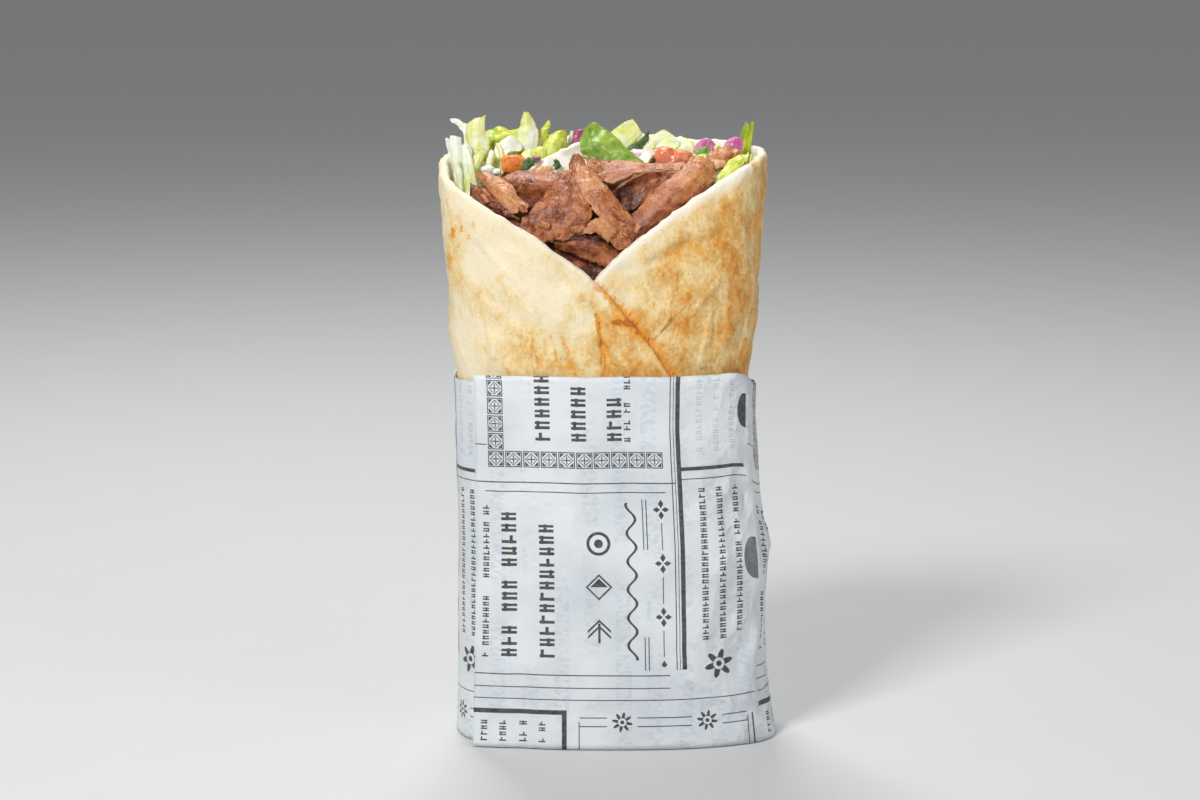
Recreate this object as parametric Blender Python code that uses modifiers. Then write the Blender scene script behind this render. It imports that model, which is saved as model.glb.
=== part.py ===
"""Durum kebab standing upright in its paper case. Units are metres, +Z is up and the front faces -Y.

One flatbread is wrapped once round the filling: its left flap lies over its right flap, and the two rims
cross in a V at the front. Sliced meat shows at the front, with lettuce, tomato and onion behind it. A paper
sheet is wrapped round the lower part and folded flat underneath, and the case stands on that.
Lengths below are written in millimetres and become metres where they enter a mesh.
"""

import math

import bmesh
import bpy
import numpy as np
from mathutils import Matrix, Vector, noise

MM = 0.001

# The wrap's section is a superellipse. These are its sizes at the bread's outer surface, by height.
SQUARENESS = 2.8
HALF_DEPTH = 27.2
HALF_WIDTHS = [(0, 45.6), (30, 44.6), (60, 44.0), (95, 43.2), (108, 43.6), (118, 44.9), (132, 46.2),
               (150, 47.4), (166, 48.2), (190, 48.4)]
MIDDLES = [(0, 1.2), (60, 0.6), (95, -0.8), (118, -1.0), (132, -0.7), (150, -1.1), (190, -1.7)]
TYPICAL_HALF_WIDTH = 45.0  # of the section that distances round the wrap are measured on

BREAD_THICK = 2.5
BREAD_BOTTOM = 1.2
BREAD_ROWS = 12
LAYER_GAP = 0.45  # between the two flaps of bread, and between bread and paper
RELIEF = 0.9  # height of the bread's waves

# Height of the bread's rim, by X on the front or back of the section, from the right flap's hidden end
# round by the back to the left flap's end.
RIM = [(-27, "front", 98), (-18, "front", 120), (-3.3, "front", 138.8), (6.5, "front", 147.8),
       (16.9, "front", 155.9), (27.3, "front", 162.5), (34.7, "front", 166.3), (41.2, "front", 170.6),
       (46.2, "back", 173.0), (41, "back", 173.6), (27, "back", 174.6), (9, "back", 176.0),
       (-20, "back", 174.6), (-38, "back", 172.4), (-47, "back", 170.6), (-46, "front", 168.0),
       (-41, "front", 163.9), (-32, "front", 158.5), (-23.1, "front", 153.0), (-14.2, "front", 147.0),
       (-5.3, "front", 140.6), (3.6, "front", 131.5), (12.5, "front", 120.9), (19.9, "front", 110.9),
       (29, "front", 97)]

# The bread's inner layer, a wedge from the middle to the back wall: its top corners, and its depth.
INNER_LAYER = [(-19.6, 2.2, 169.8), (-15.4, 8.4, 171.6), (-9.6, 15.4, 173.6), (-4.4, 21.4, 174.6),
               (-1.6, 25.6, 174.9), (4.6, 25.4, 174.9), (0.6, 19.2, 174.4), (-4.4, 12.2, 173.0),
               (-8.6, 6.2, 172.2), (-11.2, 0.6, 171.6)]
INNER_LAYER_BOTTOM = 154.0

PAPER_THICK = 0.5
PAPER_TOP = 111.0
PAPER_ROWS = 7
PAPER_FLOOR = 0.7  # thickness of the folded bottom
PAPER_OVERLAP_GAP = 0.4
FREE_EDGE_X = -39.0  # where the paper's outer edge ends, on the front
HIDDEN_EDGE_X = -20.0  # where its inner edge ends, under the front

FILL_GAP = 0.5  # between the bread and what it holds
LAYER_ROOM = 1.4  # round the corners of the inner layer, which leaves less along its sides
FILL_BOTTOM = 6.0
FILL_SPLIT = -3.0  # the meat is in front of this Y, the lettuce behind it
LETTUCE_SPLIT = -5.5  # the left lettuce is left of this X, the right one right of it
NODE_GAP = 0.6
SLICE_THICK = 1.5
LEAF_THICK = 0.9

# Moves the whole so that its box is centred over its base.
CENTRING = (-0.34, 0.45, 0.0)

for old in list(bpy.data.objects):
    bpy.data.objects.remove(old)
parts = bpy.data.collections.new("durum_kebab")
cutters = bpy.data.collections.new("cutters")
for group in (parts, cutters):
    bpy.context.scene.collection.children.link(group)
whole = bpy.data.objects.new("whole", None)
whole.location = Vector(CENTRING) * MM
parts.objects.link(whole)


def material(name, colour, roughness):
    made = bpy.data.materials.new(name)
    made.use_nodes = True
    shader = made.node_tree.nodes["Principled BSDF"]
    shader.inputs["Base Color"].default_value = (*colour, 1)
    shader.inputs["Roughness"].default_value = roughness
    return made


bread_look = material("bread", (0.78, 0.55, 0.28), 0.75)
paper_look = material("paper", (0.72, 0.74, 0.75), 0.6)
meat_look = material("meat", (0.36, 0.14, 0.065), 0.42)
lettuce_look = material("lettuce", (0.46, 0.5, 0.09), 0.45)
leaf_look = material("leaf", (0.22, 0.36, 0.04), 0.4)
tomato_look = material("tomato", (0.74, 0.19, 0.07), 0.25)
onion_look = material("onion", (0.56, 0.18, 0.32), 0.35)
herb_look = material("herb", (0.05, 0.16, 0.02), 0.5)


# ---- The section: places by distance round it, from the front's middle to the right.
def table(rows, at):
    """Reads a list of (position, value) rows, straight between them."""
    return float(np.interp(at, [row[0] for row in rows], [row[1] for row in rows]))


def share(value, start, end):
    """How far value has come from start to end, from 0 to 1."""
    return min(1.0, max(0.0, (value - start) / (end - start)))


quarter = 360
angles = np.linspace(-math.pi / 2, 1.5 * math.pi, 4 * quarter + 1)
circle = np.column_stack([np.cos(angles), np.sin(angles)])
unit = np.sign(circle) * np.abs(circle) ** (2 / SQUARENESS)
half_sizes = (TYPICAL_HALF_WIDTH, HALF_DEPTH)
along = np.concatenate([[0], np.cumsum(np.hypot(*(np.diff(unit, axis=0) * half_sizes).T))])
ROUND = along[-1]
normals = np.sign(unit) * np.abs(unit) ** (SQUARENESS - 1) / half_sizes
normals /= np.linalg.norm(normals, axis=1)[:, None]


def outline(s, z, off):
    """The place at distance s round the section and height z, moved off millimetres outwards."""
    x, y, nx, ny = (float(np.interp(s % ROUND, along, values)) for values in (*unit.T, *normals.T))
    return Vector((table(HALF_WIDTHS, z) * x + off * nx + table(MIDDLES, z), HALF_DEPTH * y + off * ny, z))


def distance(x, side):
    """The distance round the section at which its front or its back passes X."""
    x = x / (TYPICAL_HALF_WIDTH + 1.5)
    back = slice(quarter, 3 * quarter + 1)
    if side == "back":
        return float(np.interp(-x, -unit[back, 0], along[back]))
    if x >= 0:
        return float(np.interp(x, unit[: quarter + 1, 0], along[: quarter + 1]))
    return float(np.interp(x, unit[3 * quarter :, 0], along[3 * quarter :])) - ROUND


def rim_by_distance():
    """RIM with each place as a distance, which goes on rising past a full turn."""
    rows, turn = [], 0.0
    for x, side, z in RIM:
        s = distance(x, side) + turn
        if rows and s < rows[-1][0]:
            turn += ROUND
            s += ROUND
        rows.append((s, z))
    return rows


def evenly_round():
    """Distances round the section for the sheets' columns, closer at its corners."""
    found, s = [], 0.0
    while s < ROUND - 2:
        found.append(s)
        corner = abs(math.sin(2 * math.pi * s / ROUND)) > 0.55
        s += 4.6 if corner else 7.0
    return [at * ROUND / s for at in found]


stations = evenly_round()
rim = rim_by_distance()


def stations_between(start, end):
    """Columns for a sheet from start to end. Sheets share them, so that their facets lie alike."""
    turns = [s + k * ROUND for k in (-1, 0, 1) for s in stations]
    return [start, *(s for s in turns if start + 2 < s < end - 2), end]


# ---- Making solids.
def applied(obj):
    """Turns the modifiers of obj into its mesh."""
    depsgraph = bpy.context.evaluated_depsgraph_get()
    made = bpy.data.meshes.new_from_object(obj.evaluated_get(depsgraph))
    obj.modifiers.clear()
    obj.data = made


def sheet(columns, rows, place, thick):
    """A thin solid: a grid warped by place(u, v), split into triangles first so that both faces match."""
    bpy.ops.mesh.primitive_grid_add(x_subdivisions=columns, y_subdivisions=rows, size=1)
    obj = bpy.context.object
    for vertex in obj.data.vertices:
        vertex.co = place(vertex.co.x + 0.5, vertex.co.y + 0.5) * MM
    split = obj.modifiers.new("split", "TRIANGULATE")
    split.quad_method = "SHORTEST_DIAGONAL"
    thickened = obj.modifiers.new("thick", "SOLIDIFY")
    thickened.thickness = thick * MM
    thickened.offset = 0
    applied(obj)
    return obj


def wrapped_sheet(distances, rows, place, thick):
    """A sheet whose columns stand at the given distances, warped by place(s, v)."""
    last = len(distances) - 1
    return sheet(last, rows, lambda u, v: place(distances[round(u * last)], v), thick)


def solid_from(shape):
    bmesh.ops.recalc_face_normals(shape, faces=shape.faces)
    bmesh.ops.triangulate(shape, faces=shape.faces)
    mesh = bpy.data.meshes.new("solid")
    shape.to_mesh(mesh)
    shape.free()
    obj = bpy.data.objects.new("solid", mesh)
    cutters.objects.link(obj)
    return obj


def prism(top, bottom_z):
    """An upright solid under the top corners, down to one height."""
    shape = bmesh.new()
    lid = shape.faces.new([shape.verts.new(Vector(corner) * MM) for corner in top])
    made = bmesh.ops.extrude_face_region(shape, geom=[lid], use_keep_orig=True)
    for vertex in (item for item in made["geom"] if isinstance(item, bmesh.types.BMVert)):
        vertex.co.z = bottom_z * MM
    return solid_from(shape)


def boolean(obj, others, operation):
    """Joins the others to obj or cuts obj with them, and removes them."""
    operands = bpy.data.collections.new("operands")
    for other in others:
        operands.objects.link(other)
    step = obj.modifiers.new("boolean", "BOOLEAN")
    step.operation = operation
    step.operand_type = "COLLECTION"
    step.collection = operands
    step.solver = "EXACT"
    step.use_self = True
    applied(obj)
    for other in others:
        bpy.data.objects.remove(other)
    bpy.data.collections.remove(operands)


def drop_scraps(obj):
    """Keeps the largest body of obj, without the slivers and loose bits that a cut leaves."""
    shape = bmesh.new()
    shape.from_mesh(obj.data)
    bmesh.ops.remove_doubles(shape, verts=shape.verts, dist=0.002 * MM)
    bmesh.ops.dissolve_degenerate(shape, edges=shape.edges, dist=0.001 * MM)
    bmesh.ops.triangulate(shape, faces=shape.faces)
    waiting, bodies = set(shape.faces), []
    while waiting:
        front = [waiting.pop()]
        body = list(front)
        while front:
            near = {face for old in front for edge in old.edges for face in edge.link_faces} & waiting
            waiting -= near
            front = list(near)
            body += front
        bodies.append(body)
    bodies.sort(key=len)
    scraps = [face for body in bodies[:-1] for face in body]
    bmesh.ops.delete(shape, geom=scraps, context="FACES")
    shape.to_mesh(obj.data)
    shape.free()


def finish(obj, name, look, smooth=50):
    """Names a solid, puts its origin in its middle and hangs it on the whole."""
    for group in list(obj.users_collection):
        group.objects.unlink(obj)
    parts.objects.link(obj)
    obj.name = obj.data.name = name
    obj.data.materials.clear()
    obj.data.materials.append(look)
    bpy.ops.object.select_all(action="DESELECT")
    obj.select_set(True)
    bpy.context.view_layer.objects.active = obj
    bpy.ops.object.transform_apply(location=True, rotation=True, scale=True)
    bpy.ops.object.shade_smooth_by_angle(angle=math.radians(smooth))
    corners = np.array([vertex.co for vertex in obj.data.vertices])
    middle = Vector((corners.min(axis=0) + corners.max(axis=0)) / 2)
    obj.data.transform(Matrix.Translation(-middle))
    obj.location = middle
    obj.parent = whole


# ---- Flatbread: one sheet wrapped round, with a floor and an inner layer at the back.
def flap_drop(s):
    """How far the right flap lies under the surface, so that the left flap can lie over it."""
    return (BREAD_THICK + LAYER_GAP) * (1 - share(s, 34, 78)) if s < 90 else 0.0


def relief(s, z):
    """The bread's uneven surface, which fades out where the paper holds it."""
    x, y, _ = outline(s, 100, 0)
    broad = noise.noise(Vector((x / 17, y / 17, z / 15)))
    fine = noise.noise(Vector((x / 7, y / 7, z / 6 + 9)))
    return RELIEF * (broad + 0.4 * fine) * share(z, 112, 124)


def bread_sheet(grow=0.0):
    """The wrapped bread, or with grow the room that it needs in what lies next to it."""

    def place(s, v):
        z = BREAD_BOTTOM + v * (table(rim, s) + grow - BREAD_BOTTOM)
        tuck = 3.0 * (1 - share(z, 0, 7)) ** 2
        return outline(s, z, relief(s, z) - flap_drop(s) - tuck - BREAD_THICK / 2)

    columns = stations_between(rim[0][0], rim[-1][0])
    return wrapped_sheet(columns, BREAD_ROWS, place, BREAD_THICK + 2 * grow)


def inner_layer(grow=0.0):
    """The bread's inner layer, or with grow the room that it needs."""
    corners = [Vector(corner) for corner in INNER_LAYER]
    middle = sum(corners, Vector()) / len(corners)
    top = [corner + (corner - middle).normalized() * grow + Vector((0, 0, grow)) for corner in corners]
    return prism(top, INNER_LAYER_BOTTOM - grow)


def flat_ring(points, z):
    return [Vector((point.x, point.y, z)) for point in points]


def flatbread():
    bread = bread_sheet()
    floor = prism(flat_ring([outline(s, 0, -4.2) for s in stations], 5.0), 2.0)
    boolean(bread, [floor, inner_layer()], "UNION")
    drop_scraps(bread)
    finish(bread, "flatbread", bread_look)


flatbread()


# ---- Paper case: one sheet wrapped the other way round, its free edge at the front left.
paper_start = distance(FREE_EDGE_X, "front")
paper_end = distance(HIDDEN_EDGE_X, "front") + ROUND
PAPER_DROOP = [(34, 0), (52, 7.5), (80, 7.5), (130, 4), (ROUND - 50, 3.6), (ROUND - 25, 2)]


def paper_place(s, v):
    over = (PAPER_THICK + PAPER_OVERLAP_GAP) * (1 - share(s, 25, 65))
    off = LAYER_GAP + PAPER_THICK / 2 + over
    z = 0.2 + v * (PAPER_TOP - table(PAPER_DROOP, s) - 0.2)
    point = outline(s, z, off)
    if s < -26:  # the free edge stands straight out from the front
        front = outline(-26, z, off)
        point.y = front.y + 0.25 * (point.y - front.y)
    corner = math.exp(-(((s - 52) / 14) ** 2))  # folded corner and crumple at the front right
    foot = 1 - share(z, 0, 20)
    point.x += corner * (2.8 * foot + 1.3 * math.exp(-(((z - 41) / 13) ** 2)))
    point.y -= corner * 3.6 * foot
    return point


def paper_case():
    paper = wrapped_sheet(stations_between(paper_start, paper_end), PAPER_ROWS, paper_place, PAPER_THICK)
    turn = sorted([paper_start, *(s if s < paper_start + ROUND else s - ROUND for s in stations)])
    boolean(paper, [prism(flat_ring([paper_place(s, 0) for s in turn], PAPER_FLOOR), 0.0)], "UNION")
    drop_scraps(paper)
    finish(paper, "paper_wrapper", paper_look, 30)


paper_case()

# ---- What the wrap holds: cores that run down through it, with the pieces that show fused on top.
CORE_LEVELS = (FILL_BOTTOM, 70.0, 120.0)
CORE_RINGS = (1.0, 0.86, 0.7, 0.5, 0.25)  # of the top, each as a share of the section


def core(top, cuts):
    """The wrap's inside filled up to top(x, y), cut by upright planes given as (x, y, normal to drop)."""
    shape = bmesh.new()
    columns = []
    for s in stations[::2]:
        under_flaps = s < 34 or s > ROUND - 44
        inside = 2 * BREAD_THICK + LAYER_GAP + FILL_GAP if under_flaps else BREAD_THICK + FILL_GAP + 1.2
        column = [outline(s, z, -inside - 1.5 * (z == FILL_BOTTOM)) for z in CORE_LEVELS]
        edge = outline(s, 140, -inside - 0.6)
        for size in CORE_RINGS:
            x, y = edge.x * size, edge.y * size
            column.append(Vector((x, y, top(x, y) - 1.5 * (size == 1))))
        columns.append([shape.verts.new(point * MM) for point in column])
    for here, there in zip(columns, columns[1:] + columns[:1]):
        for k in range(len(here) - 1):
            shape.faces.new((here[k], there[k], there[k + 1], here[k + 1]))
    shape.faces.new([column[0] for column in columns])
    shape.faces.new([column[-1] for column in columns])
    for x, y, normal in cuts:
        everything = shape.verts[:] + shape.edges[:] + shape.faces[:]
        found = bmesh.ops.bisect_plane(shape, geom=everything, plane_co=Vector((x, y, 0)) * MM,
                                       plane_no=Vector(normal), clear_outer=True)
        edges = [item for item in found["geom_cut"] if isinstance(item, bmesh.types.BMEdge)]
        bmesh.ops.contextual_create(shape, geom=edges)
    return solid_from(shape)


def read_path(path, t):
    """A smooth line through path's rows (x, y, z, half width), read at t from 0 to 1, as a 4D vector."""
    rows = [Vector(row) for row in path]
    k = min(int(t * (len(rows) - 1)), len(rows) - 2)
    f = t * (len(rows) - 1) - k
    before, here, after, later = (rows[min(max(k + step, 0), len(rows) - 1)] for step in (-1, 0, 1, 2))
    return 0.5 * (2 * here + (after - before) * f + (2 * before - 5 * here + 4 * after - later) * f * f
                  + (3 * here - before - 3 * after + later) * f ** 3)


def ribbon(path, size, thick, seed, face=(0, -0.6, 0.8), bend=0.0, crumple=0.5, ragged=0.12, roll=(0, 0)):
    """A thin wavy piece along path whose broad side looks towards face. bend curls it across."""

    def place(u, v):
        across = 2 * v - 1
        torn = 0.4 * ragged * noise.noise(Vector((v * 3, seed, 0.5))) * abs(2 * u - 1) ** 6
        t = min(max(u + torn, 0), 1)
        here = read_path(path, t)
        middle = here.to_3d()
        ahead = read_path(path, min(t + 0.02, 1)) - read_path(path, max(t - 0.02, 0))
        tangent = ahead.to_3d().normalized()
        turn = Matrix.Rotation(math.radians(roll[0] + (roll[1] - roll[0]) * t), 3, tangent)
        wide = turn @ tangent.cross(Vector(face)).normalized()
        up = wide.cross(tangent)
        half = here[3] * (1 + ragged * noise.noise(Vector((t * 7, across * 1.5 + seed * 3, seed))))
        folds = noise.noise(Vector((middle.x / 5 + seed, (middle.y + across * half) / 5, middle.z / 5)))
        folds += 0.5 * noise.noise(Vector((t * 9, across * 2.5, seed + 4)))
        return middle + wide * (across * half) + up * (crumple * folds - bend * across * across * half)

    return sheet(*size, place, thick)


# ---- Meat: shaved slices that overlap, steepest at the tip of the V.
def meat_top(x, y):
    """Rises from the V's tip to the back, with a dark hollow right of the middle."""
    front = min(159.0, 139.0 + 0.62 * abs(x + 3))
    rise = 1 - (1 - share(y, -22.5, -9)) ** 2
    hollow = 6.0 * math.exp(-(((x - 7) / 5) ** 2) - ((y + 14) / 4) ** 2)
    if x < -10:
        hollow += 4.0 * share(y, -9, -4)
    return front + (167.6 - front) * rise - hollow


def meat():
    heap = core(meat_top, [(0, FILL_SPLIT, (0, 1, 0)), (33.5, FILL_SPLIT, (1, 0.35, 0))])
    slices = [
        # the big slice in the middle, and the one that folds down over it
        ribbon([(-3, -12, 167.5, 8), (-9, -16.5, 163.5, 9.5), (-15.5, -19.2, 157.5, 9.8),
                (-20.5, -20.6, 151.5, 7)], (8, 6), SLICE_THICK, 1, bend=0.12, crumple=1.4),
        ribbon([(-7, -11, 170, 5.5), (-1.5, -15.5, 166, 7), (4, -19.6, 158.5, 7), (8.6, -21.6, 150.5, 5.4)],
               (8, 6), SLICE_THICK, 2, bend=0.3, crumple=1.2, roll=(0, 14)),
        # the narrow crinkled strip on the left, and the rolled slice behind it
        ribbon([(-38.5, -9.5, 168.5, 2.6), (-34, -13.5, 165.8, 3.4), (-29.5, -17, 161.5, 3.6),
                (-24, -19.8, 155.5, 2.6)], (10, 4), SLICE_THICK, 3, bend=0.3, crumple=1.4, ragged=0.3),
        ribbon([(-31, -8.6, 165.6, 3.0), (-23, -10.4, 164.4, 4.2), (-15, -11, 165.0, 4.6),
                (-8, -10, 166.5, 4)], (9, 6), SLICE_THICK, 4, face=(0, -0.5, 0.87), bend=0.75, crumple=0.6),
        # the slices at the back and on the right, round the hollow
        ribbon([(-7, -6, 168.3, 4.5), (2, -7, 168.8, 5), (12, -7.4, 168.8, 5.4), (22, -8, 169.6, 4.6)],
               (9, 5), SLICE_THICK, 5, face=(0, -0.35, 0.94), bend=0.15, crumple=1.0),
        ribbon([(1.5, -12.6, 163.6, 2.6), (9, -12.2, 165.8, 2.8), (17.5, -11.4, 167.6, 2.2)],
               (7, 4), SLICE_THICK, 6, face=(0, -0.8, 0.6), bend=0.5, crumple=0.7),
        ribbon([(28.6, -8.6, 171.6, 4.5), (24, -14, 167.4, 6), (18, -18.2, 161, 6.2), (11, -21.2, 152.6, 5)],
               (9, 6), SLICE_THICK, 7, face=(-0.2, -0.66, 0.72), bend=0.2, crumple=1.0),
        ribbon([(19, -11, 165.4, 5), (14.5, -14.5, 161, 5.4), (9, -17, 155, 4.6)],
               (7, 5), SLICE_THICK, 8, face=(-0.2, -0.7, 0.7), bend=-0.15, crumple=1.0),
        # the curled slices low in the V and under the strip on the left
        ribbon([(-17.5, -19.8, 149.5, 3.2), (-8, -20.6, 148, 4.2), (3.5, -21.2, 146, 4.0)],
               (9, 6), SLICE_THICK, 9, face=(0, -0.75, 0.66), bend=0.6, crumple=1.0),
        ribbon([(-11.5, -20.4, 144.6, 3), (-4, -20.8, 141.5, 3.8), (1.5, -20.8, 141.5, 3)],
               (6, 5), SLICE_THICK, 10, face=(0, -0.7, 0.7), bend=0.4, crumple=0.9),
        ribbon([(-39, -12.6, 162.4, 3), (-33, -16.4, 158.5, 4), (-26.5, -19.4, 153.4, 3)],
               (7, 5), SLICE_THICK, 11, face=(0, -0.7, 0.7), bend=0.5, crumple=1.0),
    ]
    boolean(heap, slices, "UNION")
    boolean(heap, [bread_sheet(FILL_GAP), inner_layer(LAYER_ROOM)], "DIFFERENCE")
    drop_scraps(heap)
    finish(heap, "meat", meat_look)


meat()
loose_piece = ribbon([(29.2, -3.5, 171.6, 2.6), (33.5, -3.0, 173.4, 3.2), (38.4, -2.4, 174.2, 2.6)], (6, 5),
                     2.4, 12, face=(0, -0.5, 0.86), bend=0.45, crumple=0.7)
finish(loose_piece, "meat_piece", meat_look)

# ---- Lettuce behind the meat: shreds on the left, paler leaf on the right, each on its own core.
SHRED_FACE = (0, -1, 0.15)
SHRED_ROOT = 148.0  # where the shreds start, inside their core
LEFT_CORE_TOP, RIGHT_CORE_TOP = 164.0, 168.0
behind_meat = (0, FILL_SPLIT + NODE_GAP, (0, -1, 0))


def shred(path, size, seed, thick=LEAF_THICK, face=SHRED_FACE, **shape):
    """A standing ribbon of lettuce from its root (x, y, half width) in the core up through path."""
    x, y, half = path[0]
    return ribbon([(x, y, SHRED_ROOT, half), *path[1:]], size, thick, seed, face=face, **shape)


def lettuce(name, top, side_cut, shreds):
    heap = core(lambda x, y: top, [behind_meat, side_cut])
    boolean(heap, shreds, "UNION")
    boolean(heap, [bread_sheet(FILL_GAP), inner_layer(LAYER_ROOM)], "DIFFERENCE")
    drop_scraps(heap)
    finish(heap, name, lettuce_look)


lettuce("lettuce_left", LEFT_CORE_TOP, (LETTUCE_SPLIT - NODE_GAP / 2, 0, (1, 0, 0)), [
    # pale blades and white strips against the left rim
    shred([(-34.5, 1.5, 2.6), (-35, 2, 163, 3.2), (-36.5, 3, 174, 3.8), (-38.5, 2, 183, 2.0)], (7, 3), 21,
          bend=0.25, crumple=0.6),
    shred([(-40, 1, 1.8), (-42, 0, 163.5, 2.0), (-43.0, 0, 171.5, 1.9), (-44.2, 0.4, 177.6, 1.5)], (6, 3), 22,
          thick=1.3, bend=0.3, crumple=0.3),
    shred([(-42, 6, 1.4), (-44, 5.4, 164, 1.5), (-45.4, 4.6, 170, 1.4), (-46.4, 4, 176, 1.0)], (6, 2), 23,
          thick=1.1, crumple=0.3),
    shred([(-39, 9, 1.2), (-41.4, 9, 168, 1.2), (-42.4, 8, 176, 1.0), (-44, 7, 180.4, 0.9),
           (-46.6, 6, 182.4, 0.6)], (9, 2), 24, face=(0.2, -1, 0.1), crumple=0.3),
    shred([(-37, -1, 1.8), (-38.6, -1.6, 160, 2.2), (-40.2, -1.2, 172, 1.6)], (5, 3), 25,
          thick=1.2, bend=0.3, crumple=0.4),
    # crumpled green leaf behind them
    shred([(-33, 10, 3.2), (-34.5, 13, 166, 4.2), (-33, 15, 174.6, 4.6), (-30, 17, 178.6, 3.4)], (7, 5), 26,
          bend=-0.3, crumple=2.2),
    shred([(-30, 5, 2.2), (-32, 5.4, 166, 2.4), (-30, 7, 172.4, 2.6), (-27.6, 8.4, 177, 1.6)], (6, 3), 27,
          thick=1.4, bend=0.3, crumple=0.5),
    # the tall peak, the spike and the leaves next to the inner layer
    shred([(-25, 9, 2.6), (-26, 10, 166, 3.0), (-24, 12, 176, 3.2), (-25, 12.4, 184, 1.0)], (7, 4), 28,
          bend=0.3, crumple=0.8),
    shred([(-22, 13, 1.8), (-22, 14.5, 168, 1.9), (-19.6, 16, 176, 1.7), (-17.4, 17, 182, 0.6)], (6, 2), 29,
          crumple=0.4),
    shred([(-19, 15, 3.4), (-18.5, 17, 166, 3.6), (-16.4, 18.6, 173.6, 4.2), (-13.2, 20.4, 178, 2.6)], (7, 5),
          30, bend=-0.25, crumple=1.8),
    shred([(-24, 4, 2.2), (-25, 5, 164, 2.8), (-22.4, 7, 170, 2.8), (-20.4, 9.6, 174.2, 2.0)], (6, 4), 31,
          bend=0.4, crumple=1.0),
])
lettuce("lettuce_right", RIGHT_CORE_TOP, (LETTUCE_SPLIT + NODE_GAP / 2, 0, (-1, 0, 0)), [
    shred([(0, 12, 4.6), (2, 14, 164, 5.4), (4.5, 17.4, 172.4, 5.4), (8.6, 19.6, 179.2, 2.8)], (7, 5), 41,
          bend=0.2, crumple=1.4),
    shred([(14, 12, 5), (15, 13.4, 162, 6), (18, 15.4, 170.4, 6.4), (19.6, 18, 176.4, 4.4)], (7, 6), 42,
          bend=0.2, crumple=1.6),
    # a green shred at the right corner, and a yellow leaf in front of it
    shred([(36, 9, 1.2), (37.6, 10.4, 168, 1.3), (39.6, 10.6, 174.6, 1.7), (42.0, 10.6, 181.4, 1.0)], (7, 2),
          43, crumple=0.3),
    shred([(37.5, 2, 2.4), (38.2, -3, 160, 2.8), (38.6, -6.6, 166.6, 3.2), (40.6, -7.4, 170.6, 2.2)], (7, 4),
          44, face=(0.1, -0.9, 0.4), bend=0.3, crumple=1.2),
])
leaf_path = [(-8.4, 4.6, 179.8, 3.4), (-3.4, 2.8, 177.6, 5.4), (3, 0.6, 175.2, 5.0), (9.6, -0.6, 172.6, 2.0)]
leaf = ribbon(leaf_path, (10, 6), LEAF_THICK, 51, face=(0, -0.8, 0.6), bend=0.15, crumple=1.8, ragged=0.25)
finish(leaf, "green_leaf", leaf_look)


# ---- Tomato dice, onion strips and herb leaves that lie on the filling.
def dice(name, place, size, turn, seed):
    """A rounded, uneven dice from a divided cube."""
    bpy.ops.mesh.primitive_cube_add(size=2)
    obj = bpy.context.object
    divided = obj.modifiers.new("divided", "SUBSURF")
    divided.subdivision_type = "SIMPLE"
    divided.levels = divided.render_levels = 2
    applied(obj)
    for vertex in obj.data.vertices:
        uneven = 1 + 0.16 * noise.noise(vertex.co * 1.3 + Vector((seed, 0, 0)))
        vertex.co *= (0.62 + 0.38 / vertex.co.length) * uneven
    obj.scale = Vector(size) * MM / 2
    obj.rotation_euler.z = math.radians(turn)
    obj.location = Vector(place) * MM
    finish(obj, name, tomato_look)


dice("tomato_left", (-27.6, -2.2, 169.4), (7.0, 5.0, 4.8), 12, 3)
dice("tomato_right", (19.4, 1.8, 172.4), (10.4, 7.0, 5.8), -8, 9)

ONIONS = {
    "onion_back": [(-10.6, 22.0, 172.6, 1.8), (-7.6, 22.3, 175.4, 2.4), (-4.0, 21.9, 177.6, 1.6)],
    "onion_left": [(-21.4, -3.0, 170.0, 1.1), (-19.4, -2.6, 171.2, 1.4), (-17.6, -2.0, 171.2, 1.0)],
    "onion_middle": [(5.6, 4.6, 171.4, 1.5), (9.4, 5.2, 172.6, 2.0), (13.0, 5.6, 171.6, 1.4)],
    "onion_right": [(23.6, 8.6, 170.4, 1.8), (26.6, 10.4, 173.6, 2.6), (30.0, 11.4, 176.2, 1.6)],
    "onion_corner": [(33.4, 5.0, 173.0, 1.6), (36.2, 5.8, 175.2, 2.3), (39.4, 6.2, 176.4, 1.6)],
}
HERBS = {
    "herb_left": [(-25.6, -6.4, 169.6, 1.0), (-22.8, -6.0, 171.0, 1.9), (-20.2, -5.4, 172.0, 1.2)],
    "herb_middle": [(5.4, 9.0, 173.4, 0.9), (8.4, 9.6, 175.2, 1.8), (12.4, 10.6, 178.4, 0.5)],
    "herb_small": [(-16.4, -3.2, 170.6, 0.8), (-14.8, -3.6, 170.2, 1.5), (-13.2, -3.6, 169.6, 0.9)],
    "pepper_bit": [(25.2, 5.4, 171.6, 1.4), (27.4, 5.8, 172.4, 1.7), (29.6, 6.2, 172.2, 1.3)],
}
for seed, (name, path) in enumerate(ONIONS.items(), start=60):
    strip = ribbon(path, (6, 3), 1.3, seed, face=(0, -1, 0.3), bend=0.35, crumple=0.2, ragged=0.1)
    finish(strip, name, onion_look)
for seed, (name, path) in enumerate(HERBS.items(), start=70):
    flake = ribbon(path, (5, 3), 0.8, seed, face=(0, -0.9, 0.5), bend=0.2, crumple=0.8, ragged=0.4)
    finish(flake, name, herb_look)
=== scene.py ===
"""A durum kebab in its paper case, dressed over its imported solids: bread, paper, meat and salad."""

import math
import random

import bmesh
import bpy
import numpy as np
from mathutils import Matrix, Vector, noise
from mathutils.bvhtree import BVHTree


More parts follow.
